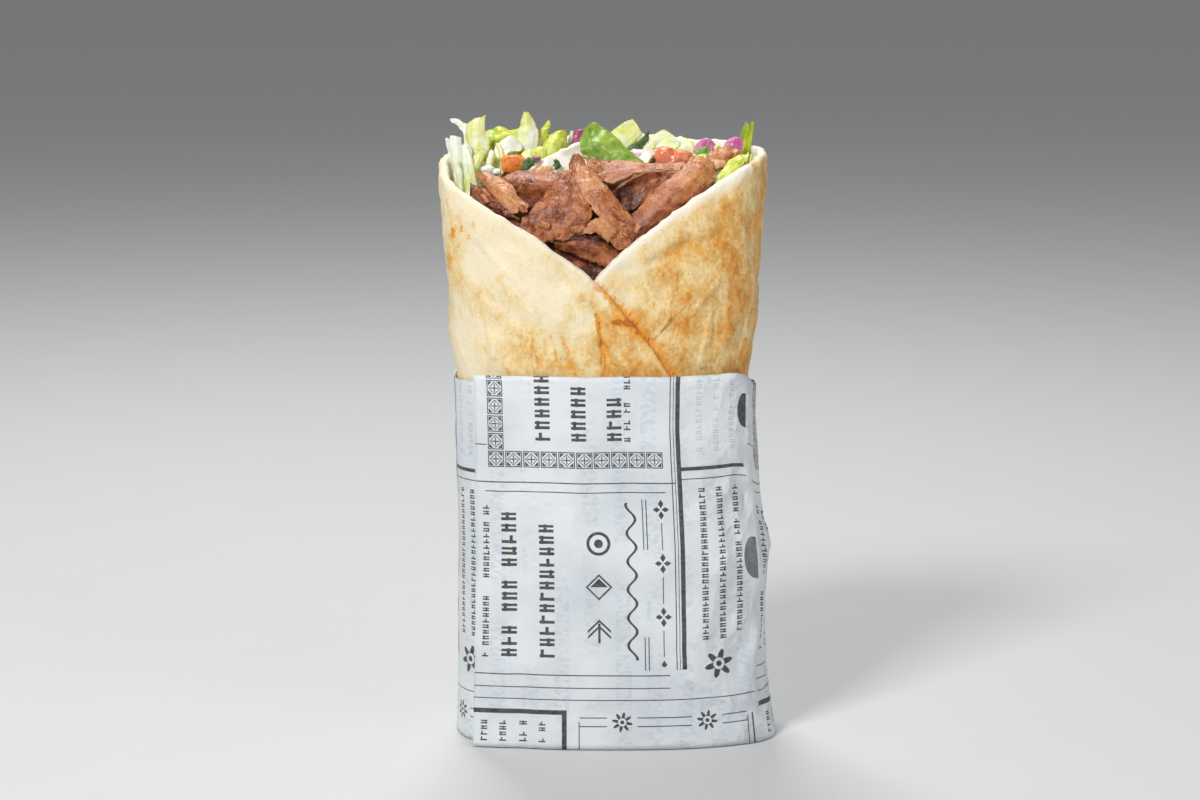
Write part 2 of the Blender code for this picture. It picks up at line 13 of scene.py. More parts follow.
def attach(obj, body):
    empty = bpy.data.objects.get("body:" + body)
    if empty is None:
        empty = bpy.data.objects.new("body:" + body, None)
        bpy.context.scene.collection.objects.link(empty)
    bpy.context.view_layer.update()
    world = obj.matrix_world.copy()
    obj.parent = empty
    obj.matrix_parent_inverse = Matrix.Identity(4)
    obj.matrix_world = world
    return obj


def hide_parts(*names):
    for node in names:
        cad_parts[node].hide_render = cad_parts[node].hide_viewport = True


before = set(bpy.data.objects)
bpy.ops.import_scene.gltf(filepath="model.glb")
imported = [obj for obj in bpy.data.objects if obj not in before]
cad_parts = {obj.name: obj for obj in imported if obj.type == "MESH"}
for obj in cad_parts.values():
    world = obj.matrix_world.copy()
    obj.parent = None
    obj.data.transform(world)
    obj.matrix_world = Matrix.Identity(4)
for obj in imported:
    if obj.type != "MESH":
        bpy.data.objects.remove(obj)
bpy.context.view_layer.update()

# ---- The view: the wrap stands on a plain pale floor, seen from the front and ten degrees above.
# A soft light stands at the upper left, a weaker one at the right, and a third lights the top from behind.
VIEW_TARGET = Vector((-0.0027, 0.0005, 0.0992))
VIEW_DISTANCE = 0.95
VIEW_HEIGHT = math.radians(10)

camera = bpy.data.objects.new("camera", bpy.data.cameras.new("camera"))
bpy.context.scene.collection.objects.link(camera)
camera.location = VIEW_TARGET + VIEW_DISTANCE * Vector((0, -math.cos(VIEW_HEIGHT), math.sin(VIEW_HEIGHT)))
camera.rotation_euler = (math.pi / 2 - VIEW_HEIGHT, 0, 0)
camera.data.sensor_width = 36
camera.data.lens = 96.04
bpy.context.scene.camera = camera

for name, place, watts, size in (
    ("key_light", (-0.5, -0.8, 0.95), 10.5, 0.3),
    ("fill_light", (0.8, -0.7, 0.45), 1.8, 0.6),
    ("back_light", (-0.1, 0.5, 1.0), 6.0, 0.3),
):
    lamp = bpy.data.objects.new(name, bpy.data.lights.new(name, "AREA"))
    lamp.data.energy = watts
    lamp.data.size = size
    lamp.location = place
    lamp.rotation_euler = (Vector((0, 0, 0.11)) - Vector(place)).to_track_quat("-Z", "Y").to_euler()
    bpy.context.scene.collection.objects.link(lamp)

bpy.context.scene.view_settings.view_transform = "Standard"
sky = bpy.data.worlds.new("soft_room")
sky.use_nodes = True
sky.node_tree.nodes["Background"].inputs["Color"].default_value = (0.95, 0.97, 1.0, 1)
sky.node_tree.nodes["Background"].inputs["Strength"].default_value = 0.26
bpy.context.scene.world = sky


class Wire:
    """One output of a material's nodes. A sum or product of wires adds the Math nodes for it."""

    def __init__(self, tree, socket):
        self.tree = tree
        self.socket = socket

    def node(self, kind, settings, values, output=0):
        """Adds a node of any kind: its settings first, then values or wires for its inputs."""
        made = self.tree.nodes.new("ShaderNode" + kind)
        for name, value in settings.items():
            if name == "stops":
                for _ in value[2:]:
                    made.color_ramp.elements.new(1)
                for stop, (at, colour) in zip(made.color_ramp.elements, value):
                    stop.position = at
                    stop.color = (*colour, 1)
            else:
                setattr(made, name, value)
        for name, value in values.items():
            if isinstance(value, Wire):
                self.tree.links.new(value.socket, made.inputs[name])
            else:
                made.inputs[name].default_value = value
        return Wire(self.tree, made.outputs[output])

    def math(self, operation, *more):
        """A Math node with this wire as its first value."""
        return self.node("Math", {"operation": operation}, dict(enumerate((self, *more))))

    def __add__(self, other):
        return self.math("ADD", other)

    def __sub__(self, other):
        return self.math("SUBTRACT", other)

    def __rsub__(self, other):
        return self.node("Math", {"operation": "SUBTRACT"}, {0: other, 1: self})

    def __mul__(self, other):
        return self.math("MULTIPLY", other)

    def __truediv__(self, other):
        return self.math("DIVIDE", other)

    def __lt__(self, other):
        return self.math("LESS_THAN", other)

    def __gt__(self, other):
        return self.math("GREATER_THAN", other)

    def size(self):
        return self.math("ABSOLUTE")

    def axis(self, number):
        """X, Y or Z of this place as a value."""
        return self.node("SeparateXYZ", {}, {0: self}, number)

    def painted(self, name):
        """The value that was painted on the piece's points under this name."""
        return self.node("Attribute", {"attribute_name": name}, {}, 2)

    def sheet(self):
        """The place on the piece's flat sheet, in metres along it and across it."""
        return self.node("UVMap", {"uv_map": "sheet"}, {})

    def ramp(self, *stops):
        """The colour at this value between stops of (value, colour)."""
        return self.node("ValToRGB", {"stops": stops}, {0: self})

    def between(self, low, high):
        """0 below low, 1 above high, and a smooth rise from one to the other."""
        return self.node("MapRange", {"interpolation_type": "SMOOTHSTEP"}, {0: self, 1: low, 2: high})

    def tint(self, base, colour):
        """base where this wire is 0 and colour where it is 1."""
        base, colour = ((*c, 1) if isinstance(c, tuple) else c for c in (base, colour))
        return self.node("Mix", {"data_type": "RGBA"}, {0: self, 6: base, 7: colour}, 2)

    def stretched(self, *sizes):
        """This place with each axis counted in pieces of the given sizes, in millimetres."""
        return self.node("Mapping", {}, {0: self, 3: tuple(1000 / size for size in sizes)})

    def cloud(self, size, detail=3, roughness=0.5, distortion=0.0):
        """Soft noise whose patches are about size millimetres across."""
        settings = {"Scale": 1000 / size, "Detail": detail, "Roughness": roughness, "Distortion": distortion}
        return self.node("TexNoise", {}, {"Vector": self, **settings})

    def bump(self, depth, normal=None):
        """Relief of the given depth in millimetres, on top of another bump."""
        below = {"Normal": normal} if normal else {}
        return self.node("Bump", {}, {"Distance": depth / 1000, "Height": self, **below})

    def feeds(self, shader, socket):
        self.tree.links.new(self.socket, shader.inputs[socket])


def new_look(name, **constants):
    """A material, its shader, and the place on the piece as a wire."""
    look = bpy.data.materials.new(name)
    look.use_nodes = True
    shader = look.node_tree.nodes["Principled BSDF"]
    for socket, value in constants.items():
        shader.inputs[socket.replace("_", " ")].default_value = value
    place = look.node_tree.nodes.new("ShaderNodeTexCoord").outputs["Object"]
    return look, shader, Wire(look.node_tree, place)


bpy.ops.mesh.primitive_plane_add(size=20)
floor = bpy.context.object
floor.name = "floor"
floor_look, floor_shader, floor_place = new_look("pale_floor", Roughness=0.8)
floor_grain = floor_place.cloud(30, 2)
floor_grain.tint((0.66, 0.66, 0.655), (0.68, 0.68, 0.675)).feeds(floor_shader, "Base Color")
floor.data.materials.append(floor_look)

# ---- Flatbread: a thin wheat flatbread, 31 cm across and 2.5 mm thick, rolled once round the filling.
# Its left flap lies over its right flap. It was toasted on a plate, which browned the raised places and left
# its rims soft and pale.
MM = 0.001
SHIFT = Vector((-0.34, 0.45, 0))  # of the wrap's middle line, which its own measures start from

SQUARENESS = 2.8
HALF_DEPTH = 27.2
HALF_WIDTHS = [(0, 45.6), (30, 44.6), (60, 44.0), (95, 43.2), (108, 43.6), (118, 44.9), (132, 46.2),
               (150, 47.4), (166, 48.2), (190, 48.4)]
MIDDLES = [(0, 1.2), (60, 0.6), (95, -0.8), (118, -1.0), (132, -0.7), (150, -1.1), (190, -1.7)]
TYPICAL_HALF_WIDTH = 45.0
BREAD_THICK = 2.5
BREAD_FOOT = 1.2
LAYER_GAP = 0.45
HIDDEN_BELOW = 108  # the paper covers the bread up to here
INNER_HALF_WIDTH = 46  # inside the bread, at the top
# The rim as (X, side, Z): from the right flap's start under the left flap, round the back, to the left
# flap's free end.
RIM = [(-27, "front", 98), (-18, "front", 120), (-3.3, "front", 138.8), (6.5, "front", 147.8),
       (16.9, "front", 155.9), (27.3, "front", 162.5), (34.7, "front", 166.3), (41.2, "front", 170.6),
       (46.2, "back", 173.0), (41, "back", 173.6), (27, "back", 174.6), (9, "back", 176.0),
       (-20, "back", 174.6), (-38, "back", 172.4), (-47, "back", 170.6), (-46, "front", 168.0),
       (-41, "front", 163.9), (-32, "front", 158.5), (-23.1, "front", 153.0), (-14.2, "front", 147.0),
       (-5.3, "front", 140.6), (3.6, "front", 131.5), (12.5, "front", 120.9), (19.9, "front", 110.9),
       (29, "front", 97)]


def table(rows, at):
    """Reads a list of (position, value) rows, straight between them."""
    return float(np.interp(at, [row[0] for row in rows], [row[1] for row in rows]))


def share(value, start, end):
    """How far value has come from start to end, from 0 to 1."""
    return min(1.0, max(0.0, (value - start) / (end - start)))


# One turn round the wrap, a squarish ellipse: its places, the distances along it and its normals.
quarter = 360
angles = np.linspace(-math.pi / 2, 1.5 * math.pi, 4 * quarter + 1)
circle = np.column_stack([np.cos(angles), np.sin(angles)])
unit = np.sign(circle) * np.abs(circle) ** (2 / SQUARENESS)
half_sizes = (TYPICAL_HALF_WIDTH, HALF_DEPTH)
along = np.concatenate([[0], np.cumsum(np.hypot(*(np.diff(unit, axis=0) * half_sizes).T))])
ROUND = along[-1]
normals = np.sign(unit) * np.abs(unit) ** (SQUARENESS - 1) / half_sizes
normals /= np.linalg.norm(normals, axis=1)[:, None]


def outline(s, z, off):
    """The place at distance s round the wrap and height z, moved off millimetres outwards."""
    x, y, nx, ny = (float(np.interp(s % ROUND, along, values)) for values in (*unit.T, *normals.T))
    return Vector((table(HALF_WIDTHS, z) * x + off * nx + table(MIDDLES, z), HALF_DEPTH * y + off * ny, z))


def distance(x, side):
    """The distance round the wrap at which its front or its back passes X."""
    x = x / (TYPICAL_HALF_WIDTH + 1.5)
    back = slice(quarter, 3 * quarter + 1)
    if side == "back":
        return float(np.interp(-x, -unit[back, 0], along[back]))
    if x >= 0:
        return float(np.interp(x, unit[: quarter + 1, 0], along[: quarter + 1]))
    return float(np.interp(x, unit[3 * quarter :, 0], along[3 * quarter :])) - ROUND


def rim_by_distance():
    """RIM with each place as a distance, which goes on rising past a full turn."""
    rows, turn = [], 0.0
    for x, side, z in RIM:
        s = distance(x, side) + turn
        if rows and s < rows[-1][0]:
            turn += ROUND
            s += ROUND
        rows.append((s, z))
    return rows


rim = rim_by_distance()
rim_start, rim_end = rim[0][0], rim[-1][0]


def rim_height(s):
    """The rim's height: its table made smooth, with the small waves of a torn-soft edge."""
    smooth = sum(table(rim, s + step) for step in (-6, -3, 0, 3, 6)) / 5
    if s < rim_start + 6 or s > rim_end - 6:
        smooth = table(rim, s)
    return smooth + 0.7 * noise.noise(Vector((s / 9, 3.3, 0))) + 0.35 * noise.noise(Vector((s / 3.5, 0, 8)))


def hump(value, middle, width):
    """1 at the middle, falling to 0 at about twice the width."""
    return math.exp(-(((value - middle) / width) ** 2))


def near_line(x, z, start, end, width):
    """1 on the straight line from start to end on the front, falling to 0 at about twice its width."""
    a, b, p = Vector(start), Vector(end), Vector((x, z))
    t = share((p - a).dot(b - a) / (b - a).length_squared, 0, 1)
    return math.exp(-(((p - a - t * (b - a)).length / width) ** 2))


# Creases and folds on the front: start and end as (X, Z), width, and how far they rise (+) or sink (-).
FOLDS = [((-3.3, 129), (0.2, 118), 1.4, -1.0), ((0.2, 118), (2.4, 110), 1.5, -1.0),
         ((-1.2, 128), (2.0, 116), 1.6, 0.7), ((-22, 122), (-20, 112), 2.0, 0.5),
         ((16.9, 139), (13.8, 123), 1.0, -0.5), ((13.8, 123), (11.5, 117), 1.0, -0.5),
         ((36, 134), (27, 127), 1.2, -0.45), ((31, 152), (15, 144), 2.2, -0.8),
         ((24, 155), (36, 160), 4, 0.5), ((41, 134), (38, 118), 2.0, -0.6),
         ((-42, 140), (-36, 120), 5.0, -0.5), ((-30, 140), (-16, 126), 6, 0.5)]


def blisters(x, y, z):
    """The bread's middle-sized waves: about -1 in the hollows and 1 on the crests, which were toasted."""
    wave = noise.noise(Vector((x / 8, y / 8 + 3, z / 9)))
    wave += 0.6 * noise.noise(Vector((x / 4, y / 4, z / 5 + 2)))
    return 1.3 * wave


def bread_relief(s, z, x, y):
    """The bread's waves and folds, which fade out where the paper holds it."""
    free = share(z, 111, 124)
    rise = 0.9 * noise.noise(Vector((x / 17, y / 17, z / 15))) * free
    rise += 0.36 * noise.noise(Vector((x / 7, y / 7, z / 6 + 9))) * free
    rise += 0.42 * blisters(x, y, z) * (0.3 + 0.7 * free)
    if y < 0:
        rise += sum(depth * near_line(x, z, a, b, width) for a, b, width, depth in FOLDS)
    return rise


def wrinkles(x, y, z):
    """The bread's fine wrinkles: short ridges that run mostly up and down."""
    ridge = 1 - 3.0 * abs(noise.noise(Vector((x / 6 + 0.4 * z / 6, y / 6, z / 11))))
    return 0.45 * max(ridge, 0) + 0.3 * noise.noise(Vector((x / 2.6, y / 2.6, z / 3.4)))


def flap_drop(s):
    """How far the right flap lies under the surface, so that the left flap can lie over it."""
    return (BREAD_THICK + LAYER_GAP) * (1 - share(s, 34, 78)) if s < 90 else 0.0


def free_everything():
    bpy.ops.object.select_all(action="DESELECT")


def grid_piece(name, columns, rows, place):
    """A grid primitive whose points go where place(u, v) says, in millimetres. u and v run from 0 to 1."""
    free_everything()
    bpy.ops.mesh.primitive_grid_add(x_subdivisions=columns, y_subdivisions=rows, size=1)
    piece = bpy.context.object
    piece.name = name
    cuts = piece.data.uv_layers.active
    for vertex in piece.data.vertices:
        vertex.co = (place(vertex.co.x + 0.5, vertex.co.y + 0.5) + SHIFT) * MM
    cuts.name = "sheet"
    return piece


def modify(piece, kind, **settings):
    """Adds a modifier to the piece and applies it."""
    bpy.context.view_layer.objects.active = piece
    step = piece.modifiers.new(kind.lower(), kind)
    for name, value in settings.items():
        setattr(step, name, value)
    bpy.ops.object.modifier_apply(modifier=step.name)


def joined(name, pieces):
    """The pieces as one object."""
    free_everything()
    for piece in pieces:
        piece.select_set(True)
    bpy.context.view_layer.objects.active = pieces[0]
    if len(pieces) > 1:
        bpy.ops.object.join()
    pieces[0].name = pieces[0].data.name = name
    return pieces[0]


def set_on(piece, nodes, look):
    """Puts a finished piece on the frame in place of the nodes, with its material."""
    free_everything()
    piece.select_set(True)
    bpy.context.view_layer.objects.active = piece
    bpy.ops.object.shade_smooth()
    piece.data.materials.clear()
    piece.data.materials.append(look)
    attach(piece, "root")
    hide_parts(*nodes)


def paint(piece, name, amount):
    """A value at each point of the piece, amount(x, y, z) in millimetres from the wrap's middle line."""
    layer = piece.data.attributes.new(name, "FLOAT", "POINT")
    values = [amount(*(vertex.co / MM - SHIFT)) for vertex in piece.data.vertices]
    layer.data.foreach_set("value", values)


def bread_place(u, v):
    s = rim_start + u * (rim_end - rim_start)
    z = BREAD_FOOT + v * (rim_height(s) - BREAD_FOOT)
    x, y, _ = outline(s, 100, 0)
    tuck = 3.0 * (1 - share(z, 0, 7)) ** 2
    free_end = 0.9 * share(s, rim_end - 60, rim_end) * share(z, HIDDEN_BELOW, 112)
    free_end *= hump(z, rim_height(s), 4)
    return outline(s, z, bread_relief(s, z, x, y) + free_end - flap_drop(s) - tuck - BREAD_THICK / 2)


bread = grid_piece("flatbread_skin", 130, 74, bread_place)
modify(bread, "SOLIDIFY", thickness=BREAD_THICK * MM, offset=0)
modify(bread, "SUBSURF", levels=1, render_levels=1)

# The bread's inner end stands up in the filling, folded over on itself, and shows as a white band.
INNER_TOP = [(-24.0, 1.2, 166.0), (-19.3, 2.6, 169.6), (-14.2, 6.4, 172.2), (-8.3, 13.2, 174.6),
             (-3.0, 20.6, 175.2), (1.0, 24.6, 174.6)]
INNER_FOOT = 152


def inner_end_place(u, v):
    at = u * (len(INNER_TOP) - 1)
    k = min(int(at), len(INNER_TOP) - 2)
    top = Vector(INNER_TOP[k]).lerp(Vector(INNER_TOP[k + 1]), at - k)
    wave = noise.noise(Vector((u * 4, v * 2, 2.5)))
    lean = 8.0 * (1 - share(v, 0.55, 1)) ** 1.4
    z = INNER_FOOT + v * (top.z + 0.4 - INNER_FOOT)
    return Vector((top.x + 0.6 * wave + 0.5 * lean, top.y - lean + 0.4 * wave, z))


inner_end = grid_piece("inner_end", 26, 14, inner_end_place)
modify(inner_end, "SOLIDIFY", thickness=3.0 * MM, offset=1)
modify(inner_end, "SUBSURF", levels=1, render_levels=1)
bread = joined("flatbread_roll", [bread, inner_end])

# The visible rim on the front, as (X, Z).
RIM_FRONT = [(-47, 169), (-41, 163.9), (-32, 158.5), (-23.1, 153), (-14.2, 147), (-5.3, 140.6),
             (-3.3, 138.8), (6.5, 147.8), (16.9, 155.9), (27.3, 162.5), (34.7, 166.3), (41.2, 170.6),
             (47, 173)]
outwards = [vertex.normal.copy() for vertex in bread.data.vertices]
rims = []  # 1 on the lip, on the inner face and on the inner end, where the bread stays white
for vertex, normal in zip(bread.data.vertices, outwards):
    x, y, z = vertex.co / MM - SHIFT
    if z > HIDDEN_BELOW:
        vertex.co += normal * (wrinkles(x, y, z) * share(z, HIDDEN_BELOW, 114) * MM)
    facing = normal.x * (x + 1.4) / INNER_HALF_WIDTH + normal.y * y / HALF_DEPTH
    facing_in = share(facing, 0.1, -0.3)
    in_front = y < -14 and x < 47
    lip = share(table(RIM_FRONT, x) - z, 3.0, 0.6) if in_front else share(z, 170.5, 172.5)
    standing = 1.0 if abs(x) < 30 and -2 < y < 22 else 0.0
    rims.append(max(lip, facing_in, standing) if z > HIDDEN_BELOW else 0.0)
bread.data.attributes.new("rim", "FLOAT", "POINT").data.foreach_set("value", rims)

# The left flap's free edge as (Z, X), and what is toasted along it: start and end as (X, Z), width and
# strength.
FREE_EDGE = [(97, 29), (111, 19.9), (121, 12.5), (131.5, 3.6), (140.6, -5.3)]
TOASTED_EDGE = [((-4.6, 138.6), (3.0, 131.2), 1.5, 1.0), ((3.0, 131.2), (11.8, 121), 2.3, 1.2),
                ((11.8, 121), (19.2, 111), 2.1, 1.1), ((4.4, 128.8), (9.0, 124.0), 2.6, 1.3),
                ((1.2, 126.7), (8.3, 125.9), 1.0, 1.9)]
# Toasted places on the rest of the front, in the same way.
TOASTED = [((-3.3, 128.6), (-0.6, 112.6), 0.75, 1.5),
           ((-0.6, 121), (1.6, 110), 0.6, 1.0), ((-22, 121.4), (-19.9, 112), 0.6, 1.0),
           ((-12.8, 121.4), (-9.8, 111), 1.1, 0.8), ((-16.2, 123), (-14.6, 113), 0.7, 0.7),
           ((-44.6, 152.6), (-45, 150), 0.6, 1.3), ((-42.2, 152.9), (-42.2, 152), 0.5, 0.9),
           ((-40.6, 151), (-39.8, 150), 0.6, 0.9), ((-38.9, 153.4), (-38.6, 154.4), 1.0, 0.7),
           ((-46.4, 161), (-46.6, 158), 0.6, 0.7), ((-46.2, 144), (-46, 140), 1.2, 0.8),
           ((27.2, 164.3), (26.4, 162), 0.8, 1.1), ((33.2, 157.3), (32.3, 147), 0.9, 0.8),
           ((27.0, 147.6), (26.6, 147), 0.7, 1.0), ((24, 148.6), (15, 144.6), 1.0, 0.6),
           ((42.7, 154.6), (43.6, 150), 1.2, 0.8), ((41.2, 132.3), (38.3, 128), 0.9, 1.1),
           ((39.8, 119), (38.4, 113), 0.9, 1.0), ((9, 149.4), (9.6, 148), 0.6, 0.8),
           ((33, 122), (30, 112), 0.9, 0.6), ((14.4, 141), (11.8, 121), 0.5, 0.55),
           ((22, 138), (19, 128), 0.8, 0.5), ((36, 141), (31, 133), 1.0, 0.5)]
# Wide places that are more golden (+) or stayed paler (-): start and end as (X, Z), radius, amount.
HAZE = [((-5.5, 134), (4, 124.5), 3.4, 0.6), ((4, 124.5), (12, 111), 4.5, 0.6),
        ((-2, 122), (0, 111), 4.0, 0.4), ((-22, 116), (-9, 114), 7, 0.2),
        ((-37, 131), (-26, 124), 5, 0.15), ((-30, 113), (-24, 119), 5, 0.1),
        ((-45, 156), (-44, 138), 3, 0.35), ((33, 158), (32, 146), 4, 0.3),
        ((24, 149), (15, 144), 3.5, 0.3), ((43, 152), (40, 126), 4, 0.25),
        ((38, 122), (34, 111), 6, 0.25), ((22, 136), (19, 126), 4, 0.2),
        ((-30, 146), (-22, 138), 10, -0.3), ((-40, 120), (-40, 112), 7, -0.28),
        ((-43, 166), (-41, 160), 7, -0.35), ((24, 155), (14, 149), 5, -0.3),
        ((4, 144), (-1, 139), 5, -0.4), ((36, 166), (31, 160), 5, -0.25),
        ((-14, 131), (-10, 133), 6, -0.15), ((8, 139), (5, 134), 5, -0.2),
        ((13, 131), (17, 116), 3.5, -0.12)]


def toasted(x, y, z):
    """How brown the bread is. The brown edge of the left flap doesn't reach over to the right flap."""
    if y > 0:
        return 0.0
    left = share(x - table(FREE_EDGE, z), 1.2, 0)
    at_edge = max(amount * near_line(x, z, a, b, width) for a, b, width, amount in TOASTED_EDGE)
    return max(left * at_edge, max(amount * near_line(x, z, a, b, width) for a, b, width, amount in TOASTED))


def golden(x, y, z):
    """How golden the bread is: more on the right flap, on crests and at the back than on the left flap."""
    edge = x - table(FREE_EDGE, z)
    right = share(edge, -1, 1) * share(y, 20, 4) + 0.75 * share(y, 4, 20)
    amount = 0.28 + 0.4 * right + 0.12 * share(z, 150, 108) + 0.15 * share(x, 30, 46)
    front = share(y, 12, -12)
    if front > 0:
        amount += front * sum(more * near_line(x, z, a, b, radius) for a, b, radius, more in HAZE)
    return min(amount, 0.85) + 0.16 * blisters(x, y, z)


paint(bread, "toasted", toasted)
paint(bread, "golden", golden)

bread_look, bread_shader, at = new_look("toasted_flatbread", Roughness=0.62)
toast, rim_white = at.painted("toasted"), at.painted("rim")
broad = at.cloud(16, 2)
patches = at.cloud(8, 4, 0.65, 0.7)
mottling = at.stretched(2.4, 2.4, 3.6).cloud(1000, 3, 0.65, 0.5)
freckles = at.cloud(1.0, 3, 0.65, 0.3)
gilt = at.painted("golden") + (broad - 0.5) * 0.8 + (patches - 0.5) * 0.9
gilt = gilt + (mottling - 0.5) * 1.2 + (freckles - 0.5) * 0.8
colour = (gilt * 0.8).ramp((0.1, (0.94, 0.82, 0.57)), (0.42, (0.9, 0.69, 0.34)), (0.75, (0.78, 0.43, 0.11)),
                           (1, (0.66, 0.26, 0.03)))
browned = (toast + (mottling - 0.5) * 2.0 + (freckles - 0.5) * 1.6) * toast.between(0.05, 0.6)
colour = (browned.between(0.1, 1.0) * 0.9).tint(colour, (0.87, 0.37, 0.03))
colour = (browned.between(0.9, 1.7) * 0.9).tint(colour, (0.46, 0.11, 0.01))
colour = (rim_white * ((patches - 0.5) * 0.5 + 0.85)).tint(colour, (0.97, 0.92, 0.81))
colour.feeds(bread_shader, "Base Color")
relief = patches * 0.4 + mottling * 0.35 + freckles * 0.25

# Sharp creases on the front: start and end as (X, Z), half width, and height, raised (+) or sunken (-).
CREASES = [((19.6, 140.5), (17.5, 127.3), 1.2, 0.42), ((17.5, 127.3), (13.4, 121.5), 1.2, 0.42),
           ((21.5, 130.3), (15, 124.0), 1.1, 0.32), ((32, 138), (24.5, 128), 1.6, 0.36),
           ((-3.3, 128.6), (-0.6, 111), 1.0, -0.35), ((-0.4, 121), (2.0, 110), 1.1, 0.42),
           ((-22, 121.4), (-19.9, 110), 1.1, 0.32), ((-12.8, 121.4), (-9.8, 110), 1.3, -0.3),
           ((41, 134), (38, 117), 1.8, -0.4), ((24, 150), (12, 143), 2.6, -0.3),
           ((-38, 150), (-24, 136), 2.0, 0.3),
           ((30, 128), (27, 113), 1.6, 0.4), ((-36, 132), (-33, 116), 2.0, 0.4)]


def crease_height(at):
    """The creases as one height in millimetres from the place on the bread. Soft noise makes them waver."""
    waver = (at.cloud(7, 2) - 0.5) * 2.6
    x = at.axis(0) * 1000 - SHIFT.x + waver
    z = at.axis(2) * 1000 - waver
    height = 0
    for (ax, az), (bx, bz), width, rise in CREASES:
        step_x, step_z = bx - ax, bz - az
        square = step_x ** 2 + step_z ** 2
        off_x, off_z = x - ax, z - az
        reached = off_x * (step_x / square) + off_z * (step_z / square)
        reached = at.node("Clamp", {}, {0: reached, 1: 0.0, 2: 1.0})
        off_x, off_z = off_x - reached * step_x, off_z - reached * step_z
        far = (off_x * off_x + off_z * off_z).math("SQRT")
        height = (1 - far.between(0, width)) * rise + height
    return height * (at.axis(1) < 0)


crease_height(at).bump(1.0, relief.bump(0.8)).feeds(bread_shader, "Normal")
set_on(bread, ["flatbread"], bread_look)

# ---- Paper case: one sheet of white greaseproof paper, printed in dark grey, wrapped round the lower part.
# It goes round the other way than the bread, has its free edge at the front left, and is folded flat below.
PAPER_THICK = 0.35
PAPER_TOP = 111.0
# How much lower the top edge hangs, as (distance round the wrap, millimetres).
PAPER_DROOP = [(38, 0), (43, 1.2), (52, 6.0), (80, 7.5), (130, 4), (ROUND - 50, 3.6), (ROUND - 25, 2)]
paper_start = distance(-39.0, "front")
paper_end = distance(-20.0, "front") + ROUND

# Crumples: middle as (distance, Z), length across, height, turn in degrees, depth.
CRUMPLES = [(-20, 96, 26, 3.0, -12, 0.35), (8, 88, 34, 2.4, -5, -0.35), (30, 72, 20, 2.5, 35, 0.4),
            (46, 94, 10, 2.0, 55, 0.7), (44, 84, 14, 2.6, 20, -0.6), (50, 60, 16, 3, -60, 0.7),
            (-28, 60, 30, 3.5, 70, 0.35), (-8, 40, 40, 4, 8, 0.3), (20, 30, 30, 3, -15, -0.35),
            (44, 30, 24, 3.5, 62, 0.8), (50, 14, 12, 2.5, 30, -0.8), (-30, 22, 22, 3, -50, 0.4),
            (0, 12, 34, 3, 4, -0.3), (30, 10, 14, 2, 40, 0.5), (-10, 70, 36, 5, 86, 0.25),
            (15, 52, 28, 4, -80, 0.3),
            (44.5, 62, 100, 2.0, 89, 0.8), (51, 58, 20, 2.6, 58, 0.9), (51, 72, 20, 2.4, 122, -0.7),
            (36, 66, 30, 3.5, 100, -0.35), (27, 46, 34, 4, 76, 0.3), (38, 40, 22, 3, 64, 0.4),
            (62, 40, 60, 4, 85, 0.5), (75, 60, 40, 4, 100, -0.5), (100, 50, 50, 5, 20, 0.5),
            (140, 60, 50, 5, 100, 0.5)]


def paper_relief(s, z):
    """Small folds and dents of thin paper over a soft filling."""
    rise = 0.5 * noise.noise(Vector((s / 24, z / 30, 4)))
    rise += 0.22 * (0.5 - abs(noise.noise(Vector((s / 11, z / 13, 8)))))
    rise += 0.1 * noise.noise(Vector((s / 5, z / 4, 1)))
    for middle, height, length, width, turn, depth in CRUMPLES:
        c, w = math.cos(math.radians(turn)), math.sin(math.radians(turn))
        ds, dz = s - middle, z - height
        a, b = ds * c + dz * w, -ds * w + dz * c
        rise += 1.3 * depth * hump(a, 0, length / 2) * max(0.0, 1 - abs(b) / width)
    return rise


def paper_place(u, v):
    """Round the wrap and up it. The free edge slants, and the lower right corner stands out."""
    s = paper_start + u * (paper_end - paper_start)
    over = 1.0 * (1 - share(s, 25, 65))
    top = PAPER_TOP - table(PAPER_DROOP, s) + 0.25 * noise.noise(Vector((s / 12, 0, 0)))
    z = 0.3 + v * (top - 0.3)
    slant = 1.6 * share(s, -20, paper_start) * (1 - v)
    held = 0.35 + 0.65 * share(z, 0, 25) * share(top - z, 0, 12)
    off = LAYER_GAP + 0.45 + over + paper_relief(s, z) * held
    point = outline(s, z, off)
    if s < -26:
        front = outline(-26, z, off)
        point.y = front.y + 0.25 * (point.y - front.y)
        point.x -= slant
    corner = hump(s, 52, 14)
    foot = 1 - share(z, 0, 20)
    point.x += corner * (2.4 * foot + 1.5 * hump(z, 54, 13))
    point.y -= corner * 3.6 * foot
    return point


paper = grid_piece("paper_sheet", 190, 66, paper_place)
for corner in paper.data.uv_layers["sheet"].data:
    corner.uv.x = (paper_start + corner.uv.x * (paper_end - paper_start)) / 1000
    corner.uv.y = corner.uv.y * PAPER_TOP / 1000
modify(paper, "SOLIDIFY", thickness=PAPER_THICK * MM, offset=0)

